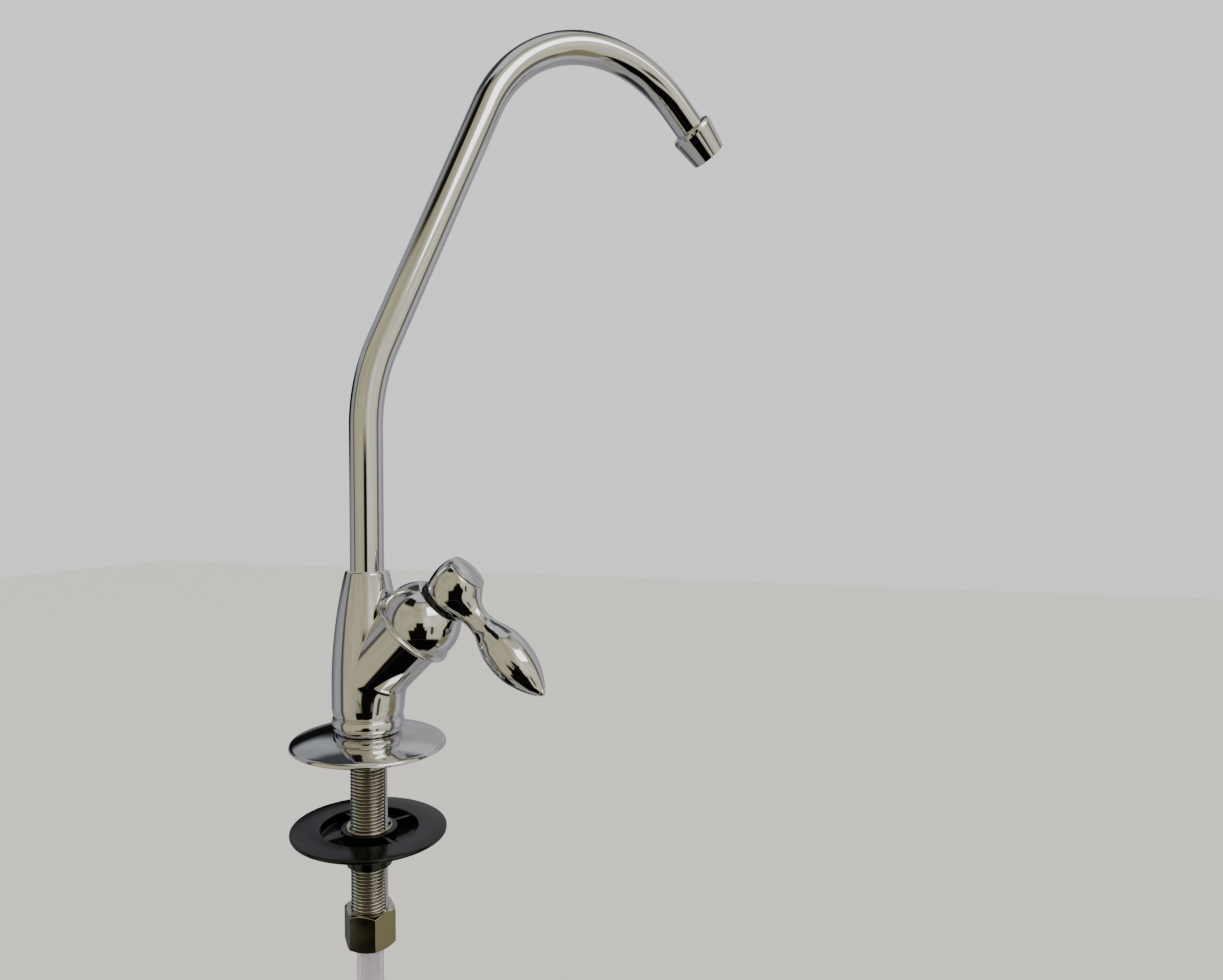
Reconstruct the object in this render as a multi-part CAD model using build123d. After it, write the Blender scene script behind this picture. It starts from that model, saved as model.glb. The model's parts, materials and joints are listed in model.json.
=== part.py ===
from build123d import *
from math import cos, pi, radians, sin, sqrt, tan
import os

# Deck-mounted drinking water faucet with a swivelling gooseneck spout and a quarter-turn lever.
# Millimetres. +Z runs up the shank. The origin is the centre of the plane that the escutcheon
# rests on. +X is the side that the oblique valve leg leans towards.

os.makedirs("parts", exist_ok=True)

# Clearances
turn_gap = 0.06        # radial gap of a turning fit
seat_gap = 0.04        # radial gap of a screwed or pressed seat
face_gap = 0.05        # gap between faces that slide on each other

# Escutcheon: a stamped disc, domed from a flat middle to a rolled rim
plate_r = 23.2
plate_sheet = 0.7
plate_rise = 3.35      # height of the underside of the flat middle
plate_boss_r = 10.0
plate_crown = 0.37     # bulge of the dome's arc over its chord
plate_rim_w = 1.4      # width of the rolled rim
plate_rim_h = 1.05     # height of the underside where the rim starts
plate_rim_bulge = 0.28
plate_lip_w = 1.1      # flat band of the rim that touches the counter
shank_hole_gap = 0.4
gasket_r = 9.3

# Body casting
base_r = 10.7
foot_r = 9.2
bead_mid_h = 3.0       # height of the widest part of the foot's bead above the foot
bead_swell = 0.05      # how far the bead stands out past the leg
band_h = 4.7
groove_h = 0.6
groove_depth = 0.35
groove_roll = 0.35     # the leg and the bead both roll in by this much towards the groove
groove_roll_h = 2.9
leg_taper_z = 17.0     # where the upright leg starts to taper
leg_top_z = 51.9
leg_top_r = 6.5
leg_top_round = 0.4
valve_z = 20.0         # where the valve axis crosses the shank axis
valve_tilt = 45.0      # elevation of the valve axis
valve_leg_r = 10.6
valve_leg_end = 24.0   # distances along the valve axis are from the crossing

# Shank
shank_r = 5.556        # 7/16 in, 24 threads to the inch
shank_end_z = -55.0
shank_in_body = 11.0
shank_bore_r = 3.2
waterway_r = 3.0

# Mounting nut: a moulded flange with a ribbed pocket, and a threaded metal insert in its hub
nut_flange_z = -25.1   # top face of the flange, where the photograph shows the nut
nut_flange_r = 23.3
nut_flange_t = 1.1
pocket_outer_r = 14.6
pocket_inner_r = 8.4
pocket_depth = 3.4
pocket_wall = 1.0
pocket_ribs = 4
rib_t = 1.1
rib_turn = 60.5
rib_drop = 0.5
hub_low_r = 6.9
hub_length = 11.2
insert_sleeve_r = 6.05
insert_lip_h = 0.5
insert_lip_r = 7.0

# Supply connection
tube_r = 4.0
tube_wall = 1.2
tube_socket_depth = 8.0
tube_hole_gap = 0.15
comp_nut_flats = 14.0
comp_nut_top_z = -49.6
comp_nut_h = 11.0
comp_nut_turn = -47.9
comp_nut_floor = 2.0
comp_nut_chamfer = 30.0
ferrule_wall = 1.35
ferrule_h = 4.0
insert_wall = 0.6
insert_length = 14.0
insert_head_t = 0.5

# Supply tube's free length: points down from the nut, chosen by hand
tube_route = [
    (0.0, 0.0, -58.0),
    (0.0, 0.0, -84.0),
    (2.2, -0.9, -113.0),
    (1.6, -4.2, -145.0),
    (-4.8, -6.4, -180.0),
    (-13.4, -3.9, -216.0),
    (-19.0, 2.4, -247.0),
]

# Cartridge
cart_r = 7.0
cart_seat_s = 10.0
seal_h = 1.6
seal_wall = 2.1
disc_r = 5.5
disc_h = 2.4
disc_port_r = 1.4
disc_port_pitch = 3.2
driver_h = 2.8
cart_hex_flats = 16.0
cart_hex_h = 2.5
cart_neck_r = 5.2
cart_neck_h = 4.5
window_w = 5.0
window_h = 2.0
gallery_depth = 0.8
gallery_h = 5.0
notch_r = 2.3
stem_r = 3.5
drive_r = 3.0
drive_sides = 12
drive_start_s = 33.0
drive_length = 9.0
ring_cord = 1.0        # section of the small sealing rings
body_ring_rise = 1.4   # rings' heights above the driver
stem_ring_rise = 3.6
clip_t = 0.8
clip_lip = 1.5
clip_slot = 60.0

# Bonnet
lip_r = 12.5
lip_s = 21.3
lip_h = 1.3
dome_r = 11.7
dome_s = 25.2          # centre of the dome's sphere
dome_top_s = 34.0
dome_wall = 1.2
bonnet_thread_h = 2.5
bonnet_hole_r = 4.3

# Handle
ring_r = 6.6
ring_h = 1.4
hub_r = 7.0            # widest part of the barrel
hub_foot_r = 6.2
hub_top_r = 5.6
hub_h = 10.5
cap_r = 5.8
cap_edge = 0.5
cap_crown = 0.9
cap_plug_h = 0.7
cap_recess_r = 4.6
screw_r = 1.95
screw_head_r = 3.4
screw_head_h = 1.8
screw_web = 1.1
screw_length = 7.0
lever_s = 38.7         # the lever's axis crosses the valve axis here
lever_length = 39.4
lever_neck_r = 3.35
lever_neck_t = 11.5
lever_root_r = 5.0
lever_root_t = 6.6
lever_bulb_r = 6.25
lever_bulb_t = 24.6
lever_tip_r = 1.0

# Spout
spout_r = 5.0
spout_wall = 1.0
spout_swing = 46.9     # azimuth of the spout as photographed
first_bend_z = 94.1
first_bend_r = 61.3
first_bend = 24.2
slope_length = 82.6
arch_r = 46.0
arch_bend = 108.0
tip_run = 8.1
spigot_neck = 5.0
spigot_bottom_z = 37.0
tube_seat_z = 44.6
socket_bottom_z = 36.5
spigot_wall = 2.0
spigot_ring_z = (38.5, 40.8)
spout_clip_z = 43.0
clip_depth = 0.65
bush_z = 46.0
bush_wall = 0.7
outlet_hole_r = 2.0
outlet_hole_x = 2.5
outlet_hole_rise = 5.0  # from the top of the cartridge's bore to the start of the hole

# Nozzle
nozzle_length = 12.0
nozzle_r = 7.2
nozzle_shoulder = 1.9
nozzle_mouth_r = 5.9
nozzle_bore_r = 4.9
nozzle_grip = 5.0      # depth of the spout tube inside the nozzle
nozzle_stop = 0.8
straightener_h = 2.4
straightener_lip = 0.3
straightener_hole_r = 0.95

# Places worked out from the sizes
plate_top = plate_rise + plate_sheet
foot_z = plate_top
band_top = foot_z + band_h
groove_top = band_top + groove_h
socket_r = spout_r + turn_gap
valve_plane = Plane(
    origin=(0, 0, valve_z),
    x_dir=(sin(radians(valve_tilt)), 0, -cos(radians(valve_tilt))),
    z_dir=(cos(radians(valve_tilt)), 0, sin(radians(valve_tilt))),
)
spout_plane = Plane(
    origin=(0, 0, 0),
    x_dir=(cos(radians(spout_swing)), sin(radians(spout_swing)), 0),
    z_dir=(sin(radians(spout_swing)), -cos(radians(spout_swing)), 0),
)


def turned(*outline):
    """Solid turned about Z from an outline of (radius, height) points, closed back to its start."""
    points = [(r, 0, z) for r, z in outline]
    return revolve(make_face(Polyline(*points, close=True)), Axis.Z, 360)


def turned_edges(*edges):
    """Solid turned about Z from edges drawn in the plane y = 0."""
    return revolve(make_face(edges), Axis.Z, 360)


def drum(radius, low, high):
    """Cylinder about Z between two heights."""
    return Pos(0, 0, low) * Cylinder(radius, high - low, align=(Align.CENTER, Align.CENTER, Align.MIN))


def washer(inner, outer, low, high):
    """Flat ring about Z."""
    return drum(outer, low, high) - drum(inner, low - 1, high + 1)


def sealing_ring(outer, section, z):
    """Round-section ring about Z whose outside just reaches the radius given."""
    return Pos(0, 0, z) * Torus(outer - section / 2, section / 2)


def split_ring(inner, outer, low, high, slot):
    """Retaining ring with an opening of the angle given, on the +X side."""
    reach = outer * 2
    half = radians(slot / 2)
    wedge = make_face(
        Polyline((0, 0), (reach, -reach * tan(half)), (reach, reach * tan(half)), close=True)
    )
    cutter = Pos(0, 0, low - 1) * extrude(wedge, high - low + 2)
    return washer(inner, outer, low, high) - cutter


def on_valve(shape):
    """Places a shape that is drawn about Z on the valve axis."""
    return valve_plane.location * shape


def arc_xz(start, middle, end):
    return ThreePointArc(*[(r, 0, z) for r, z in (start, middle, end)])


def line_xz(*points):
    return Polyline(*[(r, 0, z) for r, z in points])


def quarter(centre, radius, angle):
    """Point on a circle in the (radius, height) plane."""
    return (
        centre[0] + radius * cos(radians(angle)),
        centre[1] + radius * sin(radians(angle)),
    )


# Supports under the body
def bulged(start, end, bulge):
    """Middle point of an arc that stands off its chord by the bulge, on the side away from the axis."""
    run, rise = end[0] - start[0], end[1] - start[1]
    chord = sqrt(run**2 + rise**2)
    return (
        (start[0] + end[0]) / 2 - bulge * rise / chord,
        (start[1] + end[1]) / 2 + bulge * run / chord,
    )


def escutcheon_plate():
    """Two concentric skins a sheet apart: a flat middle, a low dome and a rolled rim."""
    hole = shank_r + shank_hole_gap
    rim_in = plate_r - plate_rim_w
    rim_top = plate_rim_h + plate_sheet
    under_in = rim_in - 0.3 * plate_sheet
    lip_in = plate_r - plate_lip_w
    boss_in = plate_boss_r - 0.1 * plate_sheet
    boss, rim, edge = (plate_boss_r, plate_top), (rim_in, rim_top), (plate_r, 0)
    under_boss, under_rim, under_edge = (boss_in, plate_rise), (under_in, plate_rim_h), (lip_in, 0)
    return turned_edges(
        line_xz((hole, plate_rise), (hole, plate_top), boss),
        arc_xz(boss, bulged(boss, rim, plate_crown), rim),
        arc_xz(rim, bulged(rim, edge, plate_rim_bulge), edge),
        line_xz(edge, under_edge),
        arc_xz(under_edge, bulged(under_rim, under_edge, 0.5 * plate_rim_bulge), under_rim),
        arc_xz(under_rim, bulged(under_boss, under_rim, plate_crown), under_boss),
        line_xz(under_boss, (hole, plate_rise)),
    )


def escutcheon_gasket():
    return washer(shank_r + shank_hole_gap, gasket_r, 0, plate_rise)


# Body casting
def upright_leg():
    """Foot bead, groove and tapered upright, as one turned blank."""
    taper_h = leg_top_z - leg_taper_z
    taper_in = base_r - leg_top_r
    sweep_r = (taper_h**2 + taper_in**2) / (2 * taper_in)
    mid_h = taper_h / 2
    mid_r = base_r - sweep_r + sqrt(sweep_r**2 - mid_h**2)
    top_h = taper_h - leg_top_round
    top_r = base_r - sweep_r + sqrt(sweep_r**2 - top_h**2)
    shoulder_r = base_r - groove_roll
    groove_r = shoulder_r - groove_depth
    roll_r = (groove_roll**2 + groove_roll_h**2) / (2 * groove_roll)
    roll_top = groove_top + groove_roll_h
    roll_mid = (base_r - roll_r + sqrt(roll_r**2 - groove_roll_h**2 / 4), groove_top + groove_roll_h / 2)
    crown = quarter((top_r - leg_top_round, leg_top_z - leg_top_round), leg_top_round, 45)
    return turned_edges(
        line_xz((0, foot_z), (foot_r, foot_z)),
        arc_xz((foot_r, foot_z), (base_r + bead_swell, foot_z + bead_mid_h), (shoulder_r, band_top)),
        arc_xz((shoulder_r, band_top), (groove_r, (band_top + groove_top) / 2), (shoulder_r, groove_top)),
        arc_xz((shoulder_r, groove_top), roll_mid, (base_r, roll_top)),
        line_xz((base_r, roll_top), (base_r, leg_taper_z)),
        arc_xz((base_r, leg_taper_z), (mid_r, leg_taper_z + mid_h), (top_r, leg_top_z - leg_top_round)),
        arc_xz((top_r, leg_top_z - leg_top_round), crown, (top_r - leg_top_round, leg_top_z)),
        line_xz((top_r - leg_top_round, leg_top_z), (0, leg_top_z), (0, foot_z)),
    )


def faucet_body():
    """One casting: the upright with a spot face that clears the bonnet's lip, and the valve leg."""
    spot_face = on_valve(drum(lip_r + seat_gap, lip_s - face_gap, lip_s + 2 * lip_r))
    blank = (upright_leg() - spot_face) + on_valve(drum(valve_leg_r, 0, valve_leg_end))
    shank_top = foot_z + shank_in_body
    cuts = [
        drum(shank_r + seat_gap, foot_z - 1, shank_top),
        drum(waterway_r, shank_top - 1, valve_z),
        Pos(0, 0, valve_z) * Sphere(waterway_r),
        on_valve(drum(waterway_r, 0, cart_seat_s)),
        on_valve(drum(cart_r + turn_gap, cart_seat_s, valve_leg_end + 1)),
        drum(socket_r, socket_bottom_z, leg_top_z + 1),
        drum(socket_r + clip_depth, spout_clip_z - clip_t / 2 - face_gap, spout_clip_z + clip_t / 2 + face_gap),
        drum(socket_r + bush_wall + seat_gap, bush_z, leg_top_z + 1),
        Pos(outlet_hole_x, 0, 0) * drum(outlet_hole_r, valve_z + cart_r + outlet_hole_rise, socket_bottom_z + 1),
    ]
    for cut in cuts:
        blank = blank - cut
    return blank


def threaded_shank():
    """Nickelled tube; the lower end has a stepped socket for the supply tube and a coned mouth."""
    top = foot_z + shank_in_body - face_gap
    socket_top = shank_end_z + tube_socket_depth
    socket = tube_r + tube_hole_gap
    mouth = 0.8
    blank = turned(
        (0, shank_end_z),
        (shank_r - mouth, shank_end_z),
        (shank_r, shank_end_z + mouth),
        (shank_r, top),
        (0, top),
    )
    blank = blank - drum(shank_bore_r, shank_end_z - 1, top + 1)
    blank = blank - drum(socket, shank_end_z - 1, socket_top)
    cone = turned(
        (0, shank_end_z),
        (socket + mouth, shank_end_z),
        (socket, shank_end_z + mouth),
        (0, shank_end_z + mouth),
    )
    return blank - cone


# Mounting nut
def mounting_nut():
    top = nut_flange_z
    floor = top - pocket_depth
    low = top - hub_length
    bore = insert_sleeve_r + seat_gap
    hub_slope = 0.6
    nut = turned(
        (bore, low),
        (hub_low_r, low),
        (hub_low_r, floor - pocket_wall),
        (pocket_outer_r + pocket_wall, floor - pocket_wall + hub_slope),
        (pocket_outer_r + pocket_wall, top - nut_flange_t),
        (nut_flange_r, top - nut_flange_t),
        (nut_flange_r, top - 0.3 * nut_flange_t),
        (nut_flange_r - 0.3 * nut_flange_t, top),
        (pocket_outer_r, top),
        (pocket_outer_r, floor + hub_slope),
        (pocket_inner_r, floor),
        (pocket_inner_r, top),
        (bore, top),
    )
    rib_mid = (pocket_inner_r + pocket_outer_r) / 2
    rib_l = pocket_outer_r - pocket_inner_r + 0.8
    rib_h = pocket_depth - rib_drop + 0.6
    rib = Pos(rib_mid, 0, floor - 0.4) * Box(rib_l, rib_t, rib_h, align=(Align.CENTER, Align.CENTER, Align.MIN))
    for i in range(pocket_ribs):
        nut = nut + Rot(0, 0, rib_turn + i * 360 / pocket_ribs) * rib
    return nut


def nut_insert():
    """Threaded sleeve in the hub; its lip lies on the hub's top."""
    bore = shank_r + turn_gap
    sleeve = washer(bore, insert_sleeve_r, nut_flange_z - hub_length, nut_flange_z)
    return sleeve + washer(bore, insert_lip_r, nut_flange_z, nut_flange_z + insert_lip_h)


# Supply connection
def compression_nut():
    top = comp_nut_top_z
    low = top - comp_nut_h
    corner = comp_nut_flats / sqrt(3)
    body = Pos(0, 0, low) * extrude(RegularPolygon(corner, 6), comp_nut_h)
    face_r = comp_nut_flats / 2 - 0.1
    drop = (corner - face_r) * tan(radians(comp_nut_chamfer))
    envelope = turned(
        (0, low),
        (face_r, low),
        (corner + 0.01, low + drop),
        (corner + 0.01, top - drop),
        (face_r, top),
        (0, top),
    )
    body = Rot(0, 0, comp_nut_turn) * (body & envelope)
    chamber = low + comp_nut_floor
    body = body - drum(shank_r + turn_gap, chamber, top + 1)
    return body - drum(tube_r + tube_hole_gap, low - 1, top)


def compression_ferrule():
    """Olive that the nut squeezes into the shank's coned mouth; it lies on the nut's floor."""
    low = comp_nut_top_z - comp_nut_h + comp_nut_floor
    high = low + ferrule_h
    bore = tube_r + seat_gap
    outer = tube_r + ferrule_wall
    nose = 0.5
    return turned(
        (bore, low),
        (outer, low),
        (outer, high - 0.4 * ferrule_h),
        (bore + nose, high),
        (bore, high),
    )


def supply_path():
    """Straight runs joined by arcs, each as large as its two runs allow."""
    points = [Vector(*p) for p in tube_route]
    radii = []
    for before, here, after in zip(points, points[1:], points[2:]):
        shorter = min((here - before).length, (after - here).length)
        half_turn = radians((here - before).get_angle(after - here)) / 2
        radii.append(0.45 * shorter / tan(half_turn))
    print("supply tube radii, mm:", [round(r, 1) for r in radii])
    return FilletPolyline(*tube_route, radius=radii)


def supply_tube():
    """Clear tube: straight through the nut into the shank, then free below the nut."""
    top = shank_end_z + tube_socket_depth - insert_head_t - face_gap
    path = supply_path()
    start = Plane(origin=path @ 0, z_dir=path % 0)
    outer = sweep(start * Circle(tube_r), path=path)
    inner = sweep(start * Circle(tube_r - tube_wall), path=path)
    free = outer - inner
    held = washer(tube_r - tube_wall, tube_r, tube_route[0][2], top)
    print("supply tube free length, mm:", round(path.length, 1))
    section = pi * (tube_r**2 - (tube_r - tube_wall) ** 2)
    print("supply tube volume over section times length:", round(free.volume / (path.length * section), 4))
    return free + held


def tube_insert():
    """Sleeve that keeps the tube round inside the olive."""
    top = shank_end_z + tube_socket_depth - face_gap
    outer = tube_r - tube_wall - seat_gap
    return washer(outer - insert_wall, outer, top - insert_length, top - insert_head_t) + washer(
        outer - insert_wall, tube_r - seat_gap, top - insert_head_t, top
    )


# Cartridge, drawn about Z and placed on the valve axis
disc_low = cart_seat_s + seal_h
disc_mid = disc_low + disc_h
disc_top = disc_mid + face_gap + disc_h
driver_top = disc_top + driver_h
neck_top = valve_leg_end + cart_hex_h + cart_neck_h
body_ring_s = driver_top + body_ring_rise
stem_ring_s = driver_top + stem_ring_rise


def disc_seal():
    return on_valve(washer(cart_r - seal_wall, cart_r - seat_gap, cart_seat_s, disc_low))


def fixed_disc():
    disc = drum(disc_r, disc_low, disc_mid)
    for side in (-1, 1):
        disc = disc - Pos(side * disc_port_pitch, 0, 0) * drum(disc_port_r, disc_low - 1, disc_mid + 1)
    return on_valve(disc)


def moving_disc():
    """Its edge notches stand a quarter turn from the fixed disc's ports while the valve is shut."""
    low = disc_mid + face_gap
    disc = drum(disc_r - turn_gap, low, disc_top)
    for side in (-1, 1):
        disc = disc - Pos(0, side * disc_r, 0) * drum(notch_r, low - 1, disc_top + 1)
    return on_valve(disc)


def cartridge_body():
    """Stem housing: side windows, a gallery round them, a hexagon and the bonnet's thread."""
    chamber = disc_r + seat_gap
    chamber_top = driver_top + face_gap
    groove = cart_r - ring_cord - seat_gap
    body = drum(cart_r, disc_low, valve_leg_end)
    body = body + Pos(0, 0, valve_leg_end) * extrude(RegularPolygon(cart_hex_flats / sqrt(3), 6), cart_hex_h)
    body = body + drum(cart_neck_r, valve_leg_end + cart_hex_h, neck_top)
    body = body - drum(chamber, disc_low - 1, chamber_top)
    body = body - drum(stem_r + turn_gap, chamber_top - 1, neck_top + 1)
    half = ring_cord / 2 + face_gap
    body = body - washer(groove, cart_r + 1, body_ring_s - half, body_ring_s + half)
    gallery_low = disc_low + 0.3
    body = body - washer(cart_r - gallery_depth, cart_r + 1, gallery_low, gallery_low + gallery_h)
    window = Pos(0, 0, disc_mid + 0.2) * Box(
        3 * cart_r, window_w, window_h, align=(Align.CENTER, Align.CENTER, Align.MIN)
    )
    return on_valve(body - window)


def cartridge_ring():
    return on_valve(sealing_ring(cart_r + turn_gap / 2, ring_cord, body_ring_s))


def cartridge_stem():
    """Driver, shaft and many-sided drive end, tapped for the handle screw."""
    stem = drum(disc_r - turn_gap, disc_top, driver_top)
    stem = stem + drum(stem_r, driver_top, drive_start_s)
    drive = Pos(0, 0, drive_start_s) * extrude(RegularPolygon(drive_r, drive_sides), drive_length)
    stem = stem + drive
    half = ring_cord / 2 + face_gap
    groove = stem_r - ring_cord - seat_gap
    stem = stem - washer(groove, stem_r + 1, stem_ring_s - half, stem_ring_s + half)
    clip_low = neck_top + face_gap
    stem = stem - washer(stem_r - 0.5, stem_r + 1, clip_low, clip_low + clip_t + face_gap)
    drive_end = drive_start_s + drive_length
    return on_valve(stem - drum(screw_r + turn_gap, drive_end - screw_length, drive_end + 1))


def stem_ring():
    return on_valve(sealing_ring(stem_r + turn_gap / 2, ring_cord, stem_ring_s))


def stem_clip():
    low = neck_top + 1.4 * face_gap
    return on_valve(split_ring(stem_r - 0.46, stem_r + clip_lip, low, low + clip_t, clip_slot))


# Bonnet
def bonnet_dome():
    """Shroud over the cartridge: a rolled lip, a near-spherical dome and a flat for the glide ring."""
    top_r = sqrt(dome_r**2 - (dome_top_s - dome_s) ** 2)
    lip_top = lip_s + lip_h
    waist_r = sqrt(dome_r**2 - (dome_s - lip_top) ** 2)
    skirt = valve_leg_r + seat_gap
    cavity_r = dome_r - dome_wall
    thread_low = neck_top - bonnet_thread_h
    cavity_top_r = sqrt(cavity_r**2 - (thread_low - dome_s) ** 2)
    cavity_low_r = sqrt(cavity_r**2 - (dome_s - valve_leg_end) ** 2)
    mid = quarter((0, dome_s), dome_r, 20)
    cavity_mid = quarter((0, dome_s), cavity_r, 5)
    clip_room = neck_top + clip_t + 6 * face_gap
    thread_r = cart_neck_r + seat_gap
    return on_valve(
        turned_edges(
            line_xz((skirt, lip_s), (lip_r - lip_h / 2, lip_s)),
            arc_xz((lip_r - lip_h / 2, lip_s), (lip_r, lip_s + lip_h / 2), (lip_r - lip_h / 2, lip_top)),
            line_xz((lip_r - lip_h / 2, lip_top), (waist_r, lip_top)),
            arc_xz((waist_r, lip_top), mid, (top_r, dome_top_s)),
            line_xz(
                (top_r, dome_top_s),
                (bonnet_hole_r, dome_top_s),
                (bonnet_hole_r, clip_room),
                (thread_r, clip_room),
                (thread_r, thread_low),
                (cavity_top_r, thread_low),
            ),
            arc_xz((cavity_top_r, thread_low), cavity_mid, (cavity_low_r, valve_leg_end)),
            line_xz((cavity_low_r, valve_leg_end), (skirt, valve_leg_end), (skirt, lip_s)),
        )
    )


# Handle
hub_low = dome_top_s + ring_h + face_gap
hub_high = hub_low + hub_h
web_low = drive_start_s + drive_length + face_gap
web_high = web_low + screw_web


def glide_ring():
    return on_valve(washer(bonnet_hole_r, ring_r, dome_top_s, dome_top_s + ring_h))


def lever_arm():
    """Flared root, neck, bulb and rounded tip, turned about its own axis and laid along local X."""
    tip_centre = lever_length - lever_tip_r
    outline = Spline(
        (lever_root_r, 0, lever_root_t),
        (lever_neck_r, 0, lever_neck_t),
        (lever_bulb_r, 0, lever_bulb_t),
        (lever_tip_r * cos(radians(35)), 0, tip_centre + lever_tip_r * sin(radians(35))),
        tangents=[(-1, 0, 1.1), (0, 0, 1), (0, 0, 1), (-1, 0, 0.9)],
    )
    arm = turned_edges(
        line_xz((0, 0), (lever_root_r, 0), (lever_root_r, lever_root_t)),
        outline,
        arc_xz(
            (lever_tip_r * cos(radians(35)), tip_centre + lever_tip_r * sin(radians(35))),
            (lever_tip_r * cos(radians(65)), tip_centre + lever_tip_r * sin(radians(65))),
            (0, lever_length),
        ),
        line_xz((0, lever_length), (0, 0)),
    )
    return Pos(0, 0, lever_s) * Rot(0, 90, 0) * arm


def lever_handle():
    """Barrel hub and lever, one casting."""
    widest = hub_low + 0.52 * hub_h
    hub = turned_edges(
        line_xz((0, hub_low), (hub_foot_r, hub_low)),
        Spline(
            (hub_foot_r, 0, hub_low),
            (hub_r, 0, widest),
            (hub_top_r, 0, hub_high),
            tangents=[(0.25, 0, 1), (0, 0, 1), (-0.8, 0, 1)],
        ),
        line_xz((hub_top_r, hub_high), (0, hub_high), (0, hub_low)),
    )
    under = Pos(0, 0, hub_low) * Box(
        2 * lever_neck_t, 3 * hub_r, 3 * hub_r, align=(Align.CENTER, Align.CENTER, Align.MAX)
    )
    handle = hub + (lever_arm() - under)
    socket = Pos(0, 0, hub_low - 1) * extrude(RegularPolygon(drive_r + turn_gap, drive_sides), web_low - hub_low + 1)
    handle = handle - socket
    handle = handle - drum(screw_r + 0.15, hub_low, hub_high)
    return on_valve(handle - drum(cap_recess_r, web_high, hub_high + 1))


def handle_screw():
    head_top = web_high + screw_head_h
    screw = drum(screw_head_r, web_high, head_top)
    screw = screw + drum(screw_r, web_high - screw_length, web_high)
    for turn in (0, 90):
        slot = Pos(0, 0, head_top) * Rot(0, 0, turn) * Box(
            1.4 * screw_head_r, 0.9, screw_head_h, align=(Align.CENTER, Align.CENTER, Align.CENTER)
        )
        screw = screw - slot
    return on_valve(screw)


def handle_cap():
    """Crowned button that closes the recess."""
    edge_top = hub_high + cap_edge
    crown_r = (cap_r**2 + cap_crown**2) / (2 * cap_crown)
    crown_centre = edge_top + cap_crown - crown_r
    mid_r = cap_r / 2
    crown_mid = (mid_r, crown_centre + sqrt(crown_r**2 - mid_r**2))
    return on_valve(
        turned_edges(
            line_xz(
                (0, hub_high - cap_plug_h),
                (cap_recess_r - seat_gap, hub_high - cap_plug_h),
                (cap_recess_r - seat_gap, hub_high),
                (cap_r, hub_high),
                (cap_r, edge_top),
            ),
            arc_xz((cap_r, edge_top), crown_mid, (0, edge_top + cap_crown)),
            line_xz((0, edge_top + cap_crown), (0, hub_high - cap_plug_h)),
        )
    )


# Spout
def spout_path():
    """Centre line in the spout's own plane, from the seat inside the leg to the end in the nozzle."""
    rise = Line((0, tube_seat_z), (0, first_bend_z))
    bend = JernArc(start=rise @ 1, tangent=rise % 1, radius=first_bend_r, arc_size=-first_bend)
    slope = Line(bend @ 1, bend @ 1 + (bend % 1) * slope_length)
    arch = JernArc(start=slope @ 1, tangent=slope % 1, radius=arch_r, arc_size=-arch_bend)
    tip = Line(arch @ 1, arch @ 1 + (arch % 1) * (tip_run + nozzle_grip))
    return spout_plane.location * Wire([rise, bend, slope, arch, tip])


def spout_tube():
    path = spout_path()
    start = Plane(origin=path @ 0, z_dir=path % 0)
    outer = sweep(start * Circle(spout_r), path=path)
    return outer - sweep(start * Circle(spout_r - spout_wall), path=path)


def nozzle_plane():
    path = spout_path()
    return Plane(origin=path @ 1 - (path % 1) * nozzle_grip, z_dir=path % 1)


def spout_spigot():
    """Turned end piece that fits the leg's socket and carries the sealing rings."""
    bore = spout_r - spigot_wall
    spigot = drum(spout_r, spigot_bottom_z, tube_seat_z)
    spigot = spigot + drum(spout_r - spout_wall - seat_gap, tube_seat_z, tube_seat_z + spigot_neck)
    half = ring_cord / 2 + face_gap
    for z in spigot_ring_z:
        spigot = spigot - washer(spout_r - ring_cord - seat_gap, spout_r + 1, z - half, z + half)
    clip_half = clip_t / 2 + 2 * face_gap
    spigot = spigot - washer(
        spout_r - clip_depth - turn_gap, spout_r + 1, spout_clip_z - clip_half, spout_clip_z + clip_half
    )
    return spigot - drum(bore, spigot_bottom_z - 1, tube_seat_z + spigot_neck + 1)


def spout_ring(z):
    return sealing_ring(spout_r + turn_gap / 2, ring_cord, z)


def spout_clip():
    low = spout_clip_z - clip_t / 2
    return split_ring(spout_r - clip_depth, socket_r + clip_depth - seat_gap, low, low + clip_t, clip_slot)


def spout_bush():
    return washer(spout_r + turn_gap, socket_r + bush_wall, bush_z, leg_top_z - face_gap)


# Nozzle, drawn about Z with the flow along +Z
straightener_low = nozzle_grip + nozzle_stop
mouth_low = straightener_low + straightener_h


def spout_nozzle():
    sleeve = spout_r + seat_gap
    stop = spout_r - spout_wall
    chamber = nozzle_bore_r + straightener_lip
    shoulder_mid = quarter((sleeve + 0.2, nozzle_shoulder), nozzle_r - sleeve - 0.2, -45)
    nozzle = turned_edges(
        line_xz((sleeve, 0), (sleeve + 0.5, 0)),
        arc_xz((sleeve + 0.5, 0), shoulder_mid, (nozzle_r, nozzle_shoulder)),
        line_xz(
            (nozzle_r, nozzle_shoulder),
            (nozzle_mouth_r, nozzle_length),
            (nozzle_bore_r, nozzle_length),
            (nozzle_bore_r, mouth_low),
            (chamber, mouth_low),
            (chamber, straightener_low),
            (stop, straightener_low),
            (stop, nozzle_grip + face_gap),
            (sleeve, nozzle_grip + face_gap),
            (sleeve, 0),
        ),
    )
    return nozzle_plane().location * nozzle


def flow_straightener():
    insert = drum(nozzle_bore_r + straightener_lip - seat_gap, straightener_low, mouth_low)
    insert = insert - drum(straightener_hole_r, straightener_low - 1, mouth_low + 1)
    pitch = 0.6 * nozzle_bore_r
    for i in range(6):
        hole = Rot(0, 0, 60 * i) * Pos(pitch, 0, 0) * drum(straightener_hole_r, straightener_low - 1, mouth_low + 1)
        insert = insert - hole
    return nozzle_plane().location * insert


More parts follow.
